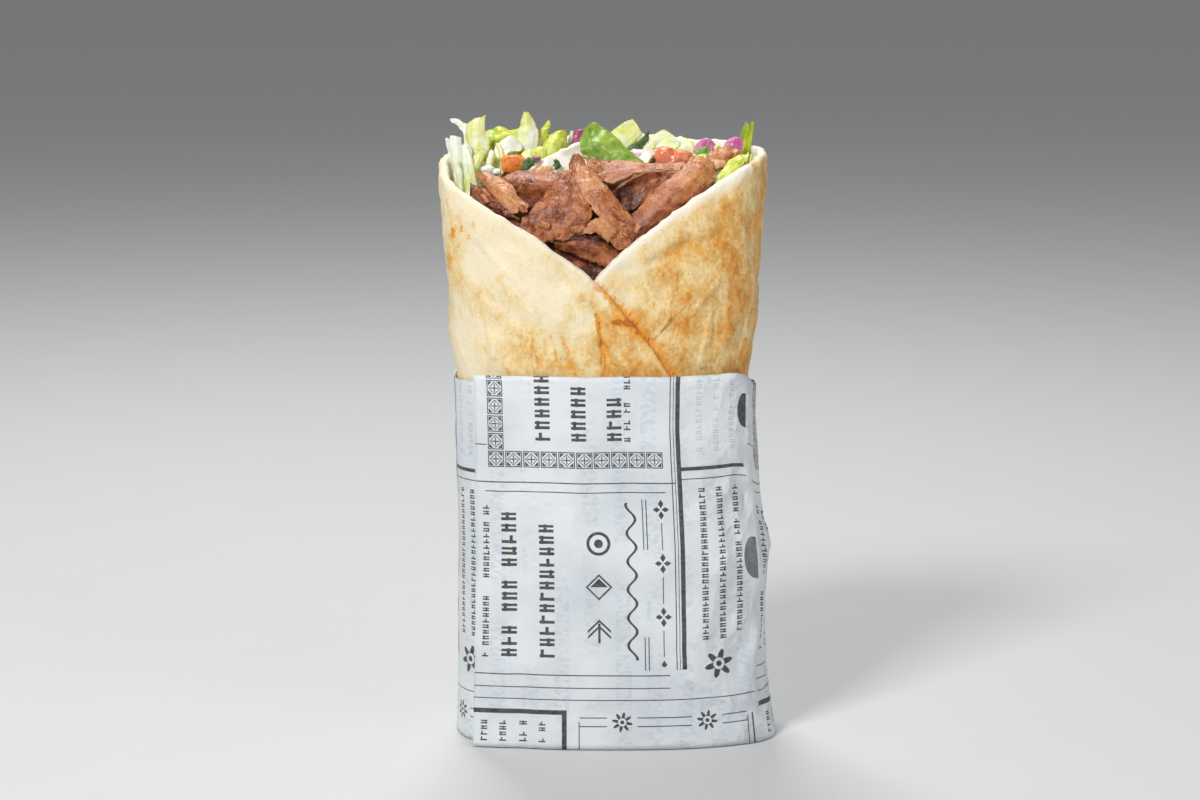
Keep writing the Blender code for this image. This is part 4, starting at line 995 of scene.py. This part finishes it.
# ---- Lettuce: iceberg lettuce cut in shreds, white at the rib and yellow green towards the leaf's edge,
# with whole crumpled leaf between. It stands behind the meat, on more of the same.
# Each shred: places in rows from its root to its tip (X, Y, Z), how green it is at root and tip, and frill.
LEFT_SHREDS = [
    ([[(-46.6, 4, 163), (-45.8, 4, 163), (-45.1, 4, 163)],
      [(-47, 4.5, 171.5), (-46.3, 4.5, 171.5), (-45.6, 4.5, 171.5)],
      [(-47.8, 4, 175.4), (-47.1, 4, 175.4), (-46.2, 4, 175.3)],
      [(-47.7, 3.5, 176.5), (-47.2, 3.5, 176.7), (-46.5, 3.5, 175.9)]], (0, 0), 0),
    ([[(-44.7, -2, 160), (-43.4, -3, 160), (-42.1, -2, 160)],
      [(-45.4, -1, 169.6), (-43.9, -2, 169.8), (-42.3, -1, 169.6)],
      [(-46.1, 0, 174.2), (-44.4, -1, 174.4), (-42.7, 0, 174.2)],
      [(-46.3, 0, 177.9), (-44.7, -0.5, 177.7), (-43.1, 0, 177.4)]], (0.06, 0), 0),
    ([[(-42, 5, 165), (-41.2, 5, 165), (-40.2, 5, 165)],
      [(-42.4, 5, 176.3), (-41.7, 5, 176.6), (-41, 5, 176.9)],
      [(-42.9, 6, 178.3), (-42, 6, 178.7), (-41.2, 6, 180.2)],
      [(-43.6, 6.6, 179), (-43, 6.6, 180), (-42.7, 6.6, 181.1)],
      [(-44.2, 7, 180), (-44.4, 7, 181.1), (-44.5, 7, 182.1)],
      [(-46.3, 7, 181.1), (-46.4, 7, 181.5), (-46.6, 7, 182)]], (0, 0.02), 0),
    ([[(-41.5, 0, 158), (-40, -1, 158), (-38.4, 0, 158)],
      [(-39.8, 1, 169.8), (-38.1, -0.5, 169.9), (-36.5, 1, 170.2)],
      [(-40.7, 3, 174.1), (-38.2, 1, 174.2), (-34.9, 2, 174.1)],
      [(-41.7, 4, 178.1), (-39, 2, 178.5), (-36.1, 3, 178.9)],
      [(-41.2, 4, 181.1), (-38.6, 3, 182.7), (-35.8, 3, 183.5)]], (0.16, 0.42), 0.3),
    ([[(-43.6, -4, 160), (-42.7, -4.6, 160), (-41.8, -4, 160)],
      [(-44.4, -3, 167), (-43.5, -3.6, 167.2), (-42.6, -3, 167)],
      [(-45.6, -2.4, 171.4), (-44.8, -2.8, 171.6), (-44, -2.4, 171.2)]], (0.3, 0.05), 0.1),
    ([[(-39.4, -6, 161), (-38.4, -6.4, 161), (-37.4, -6, 161)],
      [(-40.6, -4.6, 168.4), (-39.8, -5, 168.6), (-38.9, -4.6, 168.4)],
      [(-41.6, -3, 173.6), (-41, -3.2, 174), (-40.3, -3, 173.4)]], (0.25, 0.0), 0.1),
    ([[(-36.6, -3, 163), (-35.6, -3.4, 163), (-34.6, -3, 163)],
      [(-35.8, -1.6, 169.4), (-34.9, -2, 169.6), (-34, -1.6, 169.4)],
      [(-34.4, 0.4, 173.4), (-33.8, 0, 173.8), (-33, 0.4, 173)]], (0.35, 0.1), 0.2),
    ([[(-31.4, 0, 164), (-30.6, -0.4, 164), (-29.8, 0, 164)],
      [(-31.8, 1.6, 170.8), (-31, 1.2, 171), (-30.3, 1.6, 170.8)],
      [(-33, 4, 175), (-32.4, 3.6, 175.4), (-31.8, 4, 174.8)]], (0.4, 0.2), 0.2),
    ([[(-41.5, -5, 160), (-40.2, -6, 160), (-38.8, -5, 160)],
      [(-41.7, -4, 165.3), (-40.1, -5, 165.7), (-38.3, -4, 166.5)],
      [(-39.6, -2, 170.7), (-38.1, -3, 170.9), (-36.5, -2, 171.1)],
      [(-37.7, 1, 173.5), (-36.4, 0, 174.2), (-35.3, 1, 173.1)]], (0.35, 0.55), 0.2),
    ([[(-42.3, -3, 160), (-41.3, -4, 160), (-40.2, -3, 160)],
      [(-42.4, -2, 168.8), (-41.2, -3, 169), (-39.8, -2, 168.8)],
      [(-42.7, 0, 173.3), (-41.4, -1, 173.4), (-39.8, 0, 173.1)],
      [(-42.6, 1, 174.8), (-41.7, 0, 175.6), (-40.5, 1, 174.6)]], (0.12, 0.12), 0),
    ([[(-35.7, 15, 175.4), (-34.7, 12, 173.6), (-33.7, 11, 171.7)],
      [(-36, 16, 177.2), (-35, 12, 176.1), (-34.1, 11, 175)],
      [(-34.1, 17, 177.9), (-33.3, 12.5, 176.2), (-32.8, 11.5, 174.1)],
      [(-31.4, 17, 178.5), (-31.1, 13, 176.5), (-30.9, 12, 173.9)],
      [(-28.4, 17, 178.1), (-28.2, 14, 176.7), (-28.2, 13, 175)],
      [(-25.8, 16, 177.7), (-25.8, 14, 175.8), (-25.8, 13, 173.5)]], (0.85, 0.7), 0.9),
    ([[(-35.2, 2, 162), (-33.3, 1, 162), (-31.4, 2, 162)],
      [(-34.2, 4, 170.4), (-32.2, 2.5, 170.7), (-30.1, 3, 170.8)],
      [(-33.4, 6, 173.2), (-31.1, 4.5, 173.4), (-28.4, 5, 172.4)],
      [(-32.8, 8, 174.1), (-29.7, 6.5, 175), (-25.8, 7, 172.4)],
      [(-30.3, 9, 174.9), (-28.4, 8, 177.1), (-25.3, 9, 174.3)]], (0.2, 0.02), 0.3),
    ([[(-27.8, 9, 163), (-25, 7.5, 163), (-21.9, 9, 163)],
      [(-27.2, 11, 176.1), (-24, 9.5, 176.4), (-20.6, 11, 176.1)],
      [(-26.1, 12, 179.2), (-23.8, 10.5, 179.7), (-21.2, 12, 179.2)],
      [(-25.3, 12.5, 181.6), (-24, 11.5, 181.8), (-22.2, 12.5, 181.6)],
      [(-25.1, 12.5, 183.2), (-24.4, 12.3, 183.8), (-23.7, 12.5, 183.2)]], (0.16, 0.6), 0.3),
    ([[(-23.3, 13, 165), (-21.4, 12, 165), (-19.3, 13, 165)],
      [(-20.6, 15, 176.2), (-19.5, 14.2, 176.3), (-18, 15, 176.4)],
      [(-19.2, 16.4, 178.8), (-18.2, 16, 178.7), (-17.1, 16.4, 179.1)],
      [(-17.8, 17, 180.6), (-17.6, 17, 180.9), (-17.3, 17, 180.5)]], (0.5, 0.85), 0.1),
    ([[(-21, 8, 165), (-18.2, 7, 166), (-15.3, 9, 167)],
      [(-20.1, 13, 172.7), (-16.5, 11, 173.4), (-12.5, 14, 172.5)],
      [(-18.4, 16, 175.8), (-15.5, 14, 175.8), (-12.4, 17, 175.1)],
      [(-16.7, 18, 176.2), (-14.4, 17, 177.7), (-12.1, 19, 177.2)]], (0.7, 0.62), 0.9),
    ([[(-21.4, 4, 167), (-19.7, 3.5, 167), (-18, 4.5, 168)],
      [(-22.7, 5.5, 171.9), (-20.4, 3.5, 172.6), (-18.1, 5, 172.8)],
      [(-21.9, 8, 173), (-20.1, 6.5, 173.8), (-18.5, 7.5, 173.2)]], (0.65, 0.6), 0.6),
    ([[(-26.5, 3, 162), (-24.2, 2, 162), (-21.8, 3, 163)],
      [(-25.7, 5, 169.9), (-23.7, 4, 170.4), (-21.4, 5, 170.8)],
      [(-25, 8, 172.2), (-23.1, 7, 173), (-21.2, 8, 172.8)]], (0.3, 0.5), 0.5),
]
RIGHT_SHREDS = [
    ([[(-5, 12, 170), (-3.6, 11, 168), (-2, 10, 166)], [(-1.4, 14, 175.2), (0.8, 12.4, 173), (3, 11, 170.6)],
      [(2.4, 16, 178.6), (4.4, 14.4, 176.2), (6.6, 13, 173.4)],
      [(5.9, 17.6, 180.4), (7.5, 16.6, 178.4), (9.4, 15, 175.8)],
      [(7.5, 18, 180.8), (9, 17, 179), (10.2, 16, 176.6)]], (0.34, 0.52), 0.3),
    ([[(8.4, 12, 168), (10.4, 10, 166), (12.6, 9, 164)],
      [(11.4, 15, 173.8), (13.8, 12.6, 171.6), (16.4, 11, 168.6)],
      [(14.2, 17.4, 176.4), (16.6, 15.6, 174.4), (19.4, 13.6, 171.8)],
      [(16.4, 18.6, 177.6), (19.4, 17, 175.2), (22, 15.4, 173)],
      [(17.4, 19, 177.4), (21, 18, 175), (23.6, 16.6, 173.2)]], (0.3, 0.4), 0.3),
    ([[(26.4, 13, 166), (24, 11.4, 165), (21.4, 10, 164)],
      [(26, 15.6, 172.2), (23.2, 13.4, 170.8), (20, 11.6, 169)],
      [(24.4, 17.6, 174.6), (21.4, 15.4, 173.2), (18.4, 13.4, 171.2)],
      [(21.6, 19, 175.8), (19.4, 17, 174.6), (17, 15, 172.8)]],
     (0.28, 0.38), 0.3),
    ([[(13.4, 6, 165), (12, 5.4, 165), (10.6, 6, 165)], [(13, 9, 171.4), (11, 8.2, 171.6), (8.8, 9, 171.4)],
      [(14.6, 12.4, 174.4), (12.4, 11.4, 174.8), (10, 12.4, 174.6)]], (0.22, 0.34), 0.2),
    ([[(29.9, -12, 160), (33.1, -12.4, 160), (36.5, -11.4, 161)],
      [(31.4, -12.6, 166.3), (34.1, -14, 167), (37.7, -12.6, 168.5)],
      [(33, -10.5, 168.9), (37, -12, 170.3), (40.6, -9.5, 171.8)],
      [(35.2, -7, 171), (38.6, -8, 172.7), (41, -6, 173.4)]],
     (0.75, 0.65), 0.8),
    ([[(38.4, 11, 166), (39.4, 11, 166), (40.4, 11, 166)],
      [(38.9, 11, 175.3), (40.2, 11, 175), (41.7, 11, 175.3)],
      [(39.7, 11, 178.6), (41.2, 11, 178.2), (42.5, 11, 178.4)],
      [(40.7, 11.5, 180.6), (41.3, 11.5, 180.5), (41.7, 11.5, 179.8)]], (0.6, 1.05), 0.2),
    ([[(39.4, 10.6, 168), (40.4, 10.6, 168), (41.4, 10.6, 168)],
      [(41.4, 10.6, 178), (42.3, 10.6, 177.7), (43.2, 10.6, 178.3)],
      [(42.5, 10.8, 180.5), (42.8, 10.8, 181.2), (43.2, 10.8, 180.8)]], (0.75, 1.15), 0.1),
]


def loose_shred(x, y, z, length, half, turn, tone, seed):
    """A short shred lying on the heap, bowed up in its middle."""
    ahead, side = Vector((math.cos(turn), math.sin(turn), 0)), Vector((-math.sin(turn), math.cos(turn), 0))
    rows = [[Vector((x, y, z)) + ahead * (t - 0.5) * length + side * half * across
             + Vector((0, 0, 0.25 * length * math.sin(math.pi * t) - 0.5 * half * across * across))
             for across in (-1, 0, 1)] for t in (0, 0.33, 0.67, 1)]
    return thin_piece(rows, seed, (tone, tone), thick=0.6, crumple=0.5, folds=3.0, tear=(0.9, 0.2),
                      frill=0.3, cell=0.7)


BLADE_FOOT = 158


def blade(x, y, top, half, seed):
    """A narrow twisted shred that stands up out of the heap and ends in a torn point."""
    random.seed(seed)
    lean, sway = random.uniform(-0.3, 0.3), random.uniform(-2.5, 2.5)
    face, twist, curl = random.uniform(-0.8, 0.8), random.uniform(-1.2, 1.2), random.uniform(-0.7, 0.7)
    rows = []
    for t in (0, 0.25, 0.5, 0.75, 1):
        middle = Vector((x + lean * 14 * t + sway * math.sin(2.6 * t), y + 3 * t,
                         BLADE_FOOT + (top - BLADE_FOOT) * t))
        angle, size = face + twist * t, half * (1.15 - 0.75 * t ** 3)
        side = Vector((math.cos(angle), math.sin(angle), 0))
        fold = Vector((-math.sin(angle), math.cos(angle), 0))
        rows.append([middle - side * size, middle + fold * curl * size, middle + side * size])
    tip = random.uniform(0.1, 0.85)
    return thin_piece(rows, seed, (tip * 0.5, tip), thick=0.45, crumple=0.3, folds=2.6, tear=(0.8, 0.15),
                      frill=0.3, cell=0.5)


def lettuce(name, node, shreds, core, loose, blades):
    """The large shreds, the loose ones and the blades on their core, as one piece on its node."""
    bits = [core]
    for seed, (net, tone, frill) in enumerate(shreds, start=40):
        bits.append(thin_piece(net, seed, tone, thick=0.5, crumple=0.3 + 0.4 * frill, folds=3.0,
                               tear=(1.1, 0.3), frill=0.7 * frill, cell=0.4))
    for seed, spot in enumerate(loose, start=80):
        bits.append(loose_shred(*spot, seed))
    for seed, spot in enumerate(blades, start=160):
        bits.append(blade(*spot, seed))
    piece = joined(name, bits)
    set_on(piece, [node], lettuce_look)


lettuce_look, lettuce_shader, at = new_look("iceberg_lettuce", Subsurface_Weight=0.35,
                                            Subsurface_Scale=0.002)
sheet = at.sheet()
edge = at.painted("edge")
tone = at.painted("tone")
ribs = sheet.stretched(14, 1.0, 1).cloud(1000, 2, 0.5, 0.3)
leafy = at.cloud(4, 3, 0.5, 0.3)
patchy = tone.between(0.0, 0.3)
green = tone + ((leafy - 0.5) * 0.9 - (ribs - 0.5) * 0.8 + (edge - 0.5) * 0.26) * patchy
colour = green.ramp((0, (0.96, 0.95, 0.84)), (0.28, (0.88, 0.88, 0.44)), (0.5, (0.73, 0.76, 0.14)),
                    (0.75, (0.5, 0.6, 0.035)), (1, (0.25, 0.42, 0.02)))
colour.feeds(lettuce_shader, "Base Color")
(leafy * 0.3 + 0.25).feeds(lettuce_shader, "Roughness")
(ribs * 0.6 + leafy * 0.4).bump(0.3).feeds(lettuce_shader, "Normal")


def scattered(count, x, y, z, half):
    """Loose shreds at random: place (X, Y, Z), length, half width, turn, and how green."""
    return [(random.uniform(*x), random.uniform(*y), random.uniform(*z), random.uniform(8, 15),
             random.uniform(*half), random.uniform(0, math.pi), random.choice((0.1, 0.3, 0.5, 0.7)))
            for _ in range(count)]


random.seed(8)
left_loose = scattered(26, (-37, -14), (0, 16), (165, 168), (0.8, 2.2))
right_loose = scattered(30, (2, 34), (3, 18), (167, 169.4), (0.8, 2.4))


def rough_top(height):
    """A heap's top(x, y) at about this height."""
    return lambda x, y: height + 1.6 * noise.noise(Vector((x / 4, y / 4, 5)))


def salad_front(x):
    return -2.4


# Narrow shreds between the large ones: place (X, Y), height of the tip, half width.
left_blades = [(-41.5, 8, 176, 1.0), (-39, 10, 177.5, 1.2), (-37.5, 5, 176.5, 1.1), (-36, 9, 178, 1.4),
               (-34, 4, 174, 1.3), (-32.5, 11, 177.4, 1.2), (-31, 8, 175.4, 1.0), (-29.5, 13, 177.8, 1.4),
               (-28, 6, 173.4, 1.2), (-26.5, 10, 176, 1.1), (-25, 5, 171.8, 1.2), (-23.5, 12, 177.4, 1.1),
               (-22, 8, 174, 1.3), (-20.5, 15, 178.2, 1.0), (-19, 10, 174.4, 1.2), (-17.5, 16, 177, 1.2),
               (-16, 12, 174.6, 1.1), (-14.5, 18, 177.2, 1.0), (-38, 0, 172, 1.1), (-35, -1, 170, 1.0),
               (-31, 0, 168.8, 1.2), (-43, 2, 173, 0.9), (-33, 15, 178, 1.0), (-12.6, 17, 175.4, 1.0)]
right_blades = [(0, 14, 175.6, 1.4), (2.6, 17, 177.4, 1.2), (5, 12, 174, 1.4), (8, 15, 175.6, 1.3),
                (11, 12, 173, 1.5), (13.5, 16, 175.4, 1.3), (16, 11, 172.8, 1.4), (19, 15, 174.6, 1.4),
                (22, 18, 174.4, 1.2), (24.5, 14, 173.4, 1.4), (27.5, 16, 173.6, 1.2), (30.5, 13, 173.2, 1.2),
                (33.5, 10, 172.6, 1.2), (36, 12, 173.6, 1.0), (3, 8, 171, 1.4), (12.6, 7, 171.2, 1.4),
                (29.5, -3, 170.4, 1.4), (39.4, -2, 171.6, 1.1), (37.4, 3, 171.8, 1.2)]
left_core = heap(-40, -6, salad_front, 17, rough_top(163.5), 0.35)
lettuce("shredded_lettuce", "lettuce_left", LEFT_SHREDS, left_core, left_loose, left_blades)
right_core = heap(-5, 38, salad_front, 17, rough_top(166.5), 0.35)
lettuce("leafy_lettuce", "lettuce_right", RIGHT_SHREDS, right_core, right_loose, right_blades)

# ---- Green leaf: one soft leaf, spoon-shaped and a little crumpled, with paler veins and a bruised spot.
leaf = thin_piece([[(-7.7, 5, 176.7), (-8.1, 1, 174.5), (-7.5, -0.5, 171.4)],
                   [(-4.6, 5, 181), (-4.6, -0.5, 175.5), (-3.4, -2.2, 169.8)],
                   [(-1, 4, 179.3), (-0.3, -1.5, 174.5), (0.9, -3.2, 169.8)],
                   [(3.8, 2, 175), (3.9, -2.5, 173), (4.5, -4, 170.1)],
                   [(7.4, 0, 172.5), (7.8, -3, 171.2), (8.2, -4.4, 169.8)],
                   [(10.2, -3, 169.9), (10.1, -4, 169.9), (9.8, -4.6, 169.7)]],
                  120, (0.5, 0.6), thick=0.6, crumple=0.8, folds=4.5, tear=(0.4, 0.4), frill=0.6, cell=0.4)
leaf.name = leaf.data.name = "soft_leaf"
leaf_look, leaf_shader, at = new_look("green_leaf", Subsurface_Weight=0.25, Subsurface_Scale=0.0015)
sheet = at.sheet()
edge = at.painted("edge")
cells = sheet.node("TexVoronoi", {"feature": "DISTANCE_TO_EDGE"}, {"Vector": sheet, "Scale": 330.0})
across = (sheet + (sheet.cloud(9, 2) - 0.5) * 0.002).axis(1)
midrib = (across - 0.0058).size().between(0.0008, 0.0001)
leafy = at.cloud(3.5, 3, 0.55)
colour = ((leafy - 0.5) * 2 + 0.5).between(0, 1).tint((0.13, 0.29, 0.02), (0.34, 0.47, 0.05))
colour = (cells.between(0.1, 0.0) * 0.25).tint(colour, (0.45, 0.56, 0.14))
colour = (midrib * 0.7).tint(colour, (0.55, 0.62, 0.25))
colour = (edge * 0.25).tint(colour, (0.45, 0.55, 0.1))
bruise = (at.cloud(2.4, 2) - 0.66) * 12
colour = (bruise.between(0, 1) * 0.6).tint(colour, (0.24, 0.14, 0.03))
colour.feeds(leaf_shader, "Base Color")
(leafy * 0.3 + 0.22).feeds(leaf_shader, "Roughness")
(cells * 0.6 + leafy * 0.6).bump(0.4).feeds(leaf_shader, "Normal")
set_on(leaf, ["green_leaf"], leaf_look)

# ---- Tomato: wet dice of ripe tomato with softened corners, orange red on the left and pinker on the right.
def dice(place, size, turn, seed, ball):
    """A soft uneven dice: a divided cube, pulled towards a ball, with a wavy surface."""
    free_everything()
    bpy.ops.mesh.primitive_cube_add(size=2)
    piece = bpy.context.object
    modify(piece, "SUBSURF", subdivision_type="SIMPLE", levels=4, render_levels=4)
    spin = Matrix.Rotation(math.radians(turn), 3, "Z") @ Matrix.Rotation(math.radians(turn * 0.4), 3, "Y")
    for vertex in piece.data.vertices:
        spot = vertex.co.copy()
        spot *= 1 - ball + ball / spot.length
        spot *= 1 + 0.16 * noise.noise(spot * 1.4 + Vector((seed, 0, 0))) + 0.06 * noise.noise(spot * 4.5)
        spot = spin @ Vector(a * b / 2 for a, b in zip(spot, size))
        vertex.co = (Vector(place) + spot + SHIFT) * MM
    return piece


tomato_look, tomato_shader, at = new_look("wet_tomato", Subsurface_Weight=0.35, Subsurface_Scale=0.002,
                                          Specular_IOR_Level=0.6)
flesh = at.cloud(2.2, 3, 0.55, 0.5)
strands = at.stretched(3, 1, 1).cloud(1000, 2)
colour = ((flesh - 0.5) * 2.2 + 0.5).between(0, 1).tint((0.86, 0.18, 0.02), (0.96, 0.4, 0.09))
pinker = at.axis(0).between(-0.005, 0.012)
colour = (pinker * 0.6).tint(colour, (0.9, 0.28, 0.2))
colour = ((strands - 0.6) * 4).between(0, 1).tint(colour, (0.88, 0.42, 0.2))
colour.feeds(tomato_shader, "Base Color")
(flesh * 0.25 + 0.08).feeds(tomato_shader, "Roughness")
(flesh * 0.7 + at.cloud(0.9, 2) * 0.3).bump(0.35).feeds(tomato_shader, "Normal")
left_dice = joined("tomato_dice", [dice((-27.6, -2.2, 169.5), (7.8, 5.4, 5.6), 14, 3, 0.62)])
set_on(left_dice, ["tomato_left"], tomato_look)
right_dice = joined("tomato_lobes", [dice((16.8, 1.6, 171.2), (5.6, 6.4, 6.6), -20, 9, 0.7),
                                     dice((21.6, 2.0, 170.6), (6.4, 6.4, 5.6), 24, 12, 0.7),
                                     dice((19.2, 0.4, 169.8), (5.0, 5.0, 4.8), 8, 15, 0.8),
                                     dice((24.4, 1.6, 169.6), (4.4, 4.8, 4.2), 30, 18, 0.8)])
set_on(right_dice, ["tomato_right"], tomato_look)

# ---- Red onion: thin moist strips, magenta on the skin side and pale pink in the flesh, with long veins.
ONIONS = {
    "onion_back": ([[(-11.4, 21.5, 172.3), (-9.6, 20.5, 173.2), (-7.8, 21.5, 173.9)],
                    [(-11.1, 22, 174.9), (-9.1, 21, 175.6), (-7, 22, 175.7)],
                    [(-9.6, 22.5, 176.8), (-7.3, 22, 177.6), (-5, 22.5, 177.6)]], 1.0),
    "onion_left": ([[(-22.6, -2, 170.1), (-21.2, -2.6, 170), (-19.6, -2, 170.7)],
                    [(-22.3, -1.4, 170.9), (-21.1, -2, 171), (-19.6, -1.4, 170.9)],
                    [(-21.9, -0.6, 171.4), (-20.8, -1, 171.6), (-19.9, -0.6, 171.1)]], 0.85),
    "onion_middle": ([[(7.9, 4.4, 169.5), (11.5, 4.2, 169.3), (15.5, 4.4, 169.4)],
                      [(6.2, 6, 171.8), (11.1, 4.8, 171), (15.8, 6, 170)],
                      [(7.5, 7.4, 172.8), (12.2, 6.6, 172.5), (15.8, 7.4, 173.1)]], 0.15),
    "onion_right": ([[(24.6, 8.6, 169.6), (26.9, 8.4, 170.6), (29.4, 8.6, 171.1)],
                     [(25.6, 9.5, 173), (28.2, 8.8, 173.2), (30.9, 9.5, 172.8)],
                     [(27.6, 11, 175.1), (29.8, 10.5, 175.8), (31.6, 11, 173.9)]], 0.6),
    "onion_corner": ([[(34.1, 4.5, 172.7), (36.6, 3.9, 171.9), (39, 4.5, 172.2)],
                      [(34.5, 5.5, 174.7), (37, 4.6, 174.6), (39.6, 5.5, 174.1)],
                      [(36.3, 6.5, 176), (37.9, 6, 176.6), (39.7, 6.5, 175.8)]], 0.7),
}
onion_look, onion_shader, at = new_look("red_onion", Subsurface_Weight=0.3, Subsurface_Scale=0.0015)
sheet = at.sheet()
edge = at.painted("edge")
tone = at.painted("tone")
veins = sheet.stretched(9, 0.5, 1).cloud(1000, 2, 0.5)
red = tone + (veins - 0.5) * 0.9 + (at.cloud(3, 2) - 0.5) * 0.6
colour = red.ramp((0, (0.85, 0.7, 0.62)), (0.35, (0.75, 0.38, 0.5)), (0.7, (0.6, 0.13, 0.34)),
                  (1, (0.33, 0.04, 0.12)))
colour = (edge * 0.3).tint(colour, (0.8, 0.5, 0.66))
colour.feeds(onion_shader, "Base Color")
(veins * 0.3 + 0.12).feeds(onion_shader, "Roughness")
veins.bump(0.25).feeds(onion_shader, "Normal")
for seed, (node, (net, tint)) in enumerate(ONIONS.items(), start=130):
    strip = thin_piece(net, seed, (tint, tint), thick=1.0, crumple=0.25, folds=3.0, tear=(0.3, 0.3),
                       frill=0.2, cell=0.4)
    strip.name = strip.data.name = node.replace("onion", "red_onion")
    set_on(strip, [node], onion_look)

# ---- Herbs: flakes of chopped parsley, torn and dark green, and one bit of green pepper.
HERBS = {
    "herb_left": [[(-25.6, -6.5, 168.2), (-24.4, -7, 168.3), (-22.9, -6.5, 168.6)],
                  [(-25.2, -6, 169.9), (-23.1, -6.6, 170), (-21.3, -6, 169.9)],
                  [(-23, -5, 172), (-21, -5.6, 172), (-19.3, -5, 171.8)]],
    "herb_middle": [[(5.5, 8.5, 172.3), (7.1, 8, 172.1), (9.3, 8.5, 172.5)],
                    [(6.4, 9.5, 174), (8.6, 9, 173.9), (11, 9.5, 173.8)],
                    [(9.6, 10.5, 175.4), (10.7, 10.2, 175.8), (11.9, 10.5, 175.2)],
                    [(11.8, 11.5, 178), (12, 11.5, 178.3), (12.3, 11.5, 178)]],
    "herb_small": [[(-16, -4, 168), (-15.2, -4.4, 168.1), (-14.4, -4, 168.3)],
                   [(-16.2, -3.6, 169.3), (-15.1, -4, 169.4), (-13.6, -3.6, 169.4)],
                   [(-15.8, -3, 171.2), (-15.4, -3.2, 171.6), (-14.6, -3, 170.7)]],
    "pepper_bit": [[(25.6, 4.7, 170.4), (27.8, 4.6, 170.4), (29.8, 4.7, 171)],
                   [(25.6, 5.5, 172.1), (28, 4.8, 172.5), (29.9, 5.5, 172.7)],
                   [(26.5, 6.5, 173.3), (28.4, 6, 173.7), (29.8, 6.5, 173.3)]],
}
herb_look, herb_shader, at = new_look("chopped_herb", Specular_IOR_Level=0.5)
edge = at.painted("edge")
tone = at.painted("tone")
leafy = at.cloud(1.3, 3, 0.55)
colour = (leafy - 0.15 + tone).between(0.2, 1.2).tint((0.012, 0.05, 0.006), (0.16, 0.32, 0.04))
colour = (edge * tone * 0.6).tint(colour, (0.35, 0.5, 0.12))
colour.feeds(herb_shader, "Base Color")
(leafy * 0.35 + 0.25).feeds(herb_shader, "Roughness")
leafy.bump(0.5).feeds(herb_shader, "Normal")
for seed, (node, net) in enumerate(HERBS.items(), start=140):
    tint, tear = (0.8, 0.2) if node == "pepper_bit" else (0.15, 1.1)
    flake = thin_piece(net, seed, (tint, tint), thick=0.4, crumple=0.4, folds=2.0, tear=(tear, tear),
                       frill=0.4, cell=0.25)
    flake.name = flake.data.name = "chopped_" + node
    set_on(flake, [node], herb_look)

# ---- Sauce: a little thick white yoghurt sauce that clings to the lettuce at the left.
sauce = joined("yoghurt_sauce", [dice((-35.0, -5.2, 168.0), (4.2, 3.2, 3.2), 20, 31, 1),
                                 dice((-33.0, -4.8, 167.4), (4.2, 3.0, 2.4), -25, 35, 1)])
sauce_look, sauce_shader, at = new_look("yoghurt_sauce", Subsurface_Weight=0.4, Subsurface_Scale=0.002)
thick = at.cloud(3, 2)
thick.tint((0.88, 0.85, 0.74), (0.94, 0.93, 0.88)).feeds(sauce_shader, "Base Color")
(thick * 0.2 + 0.2).feeds(sauce_shader, "Roughness")
thick.bump(0.3).feeds(sauce_shader, "Normal")
free_everything()
sauce.select_set(True)
bpy.context.view_layer.objects.active = sauce
bpy.ops.object.shade_smooth()
sauce.data.materials.append(sauce_look)
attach(sauce, "root")
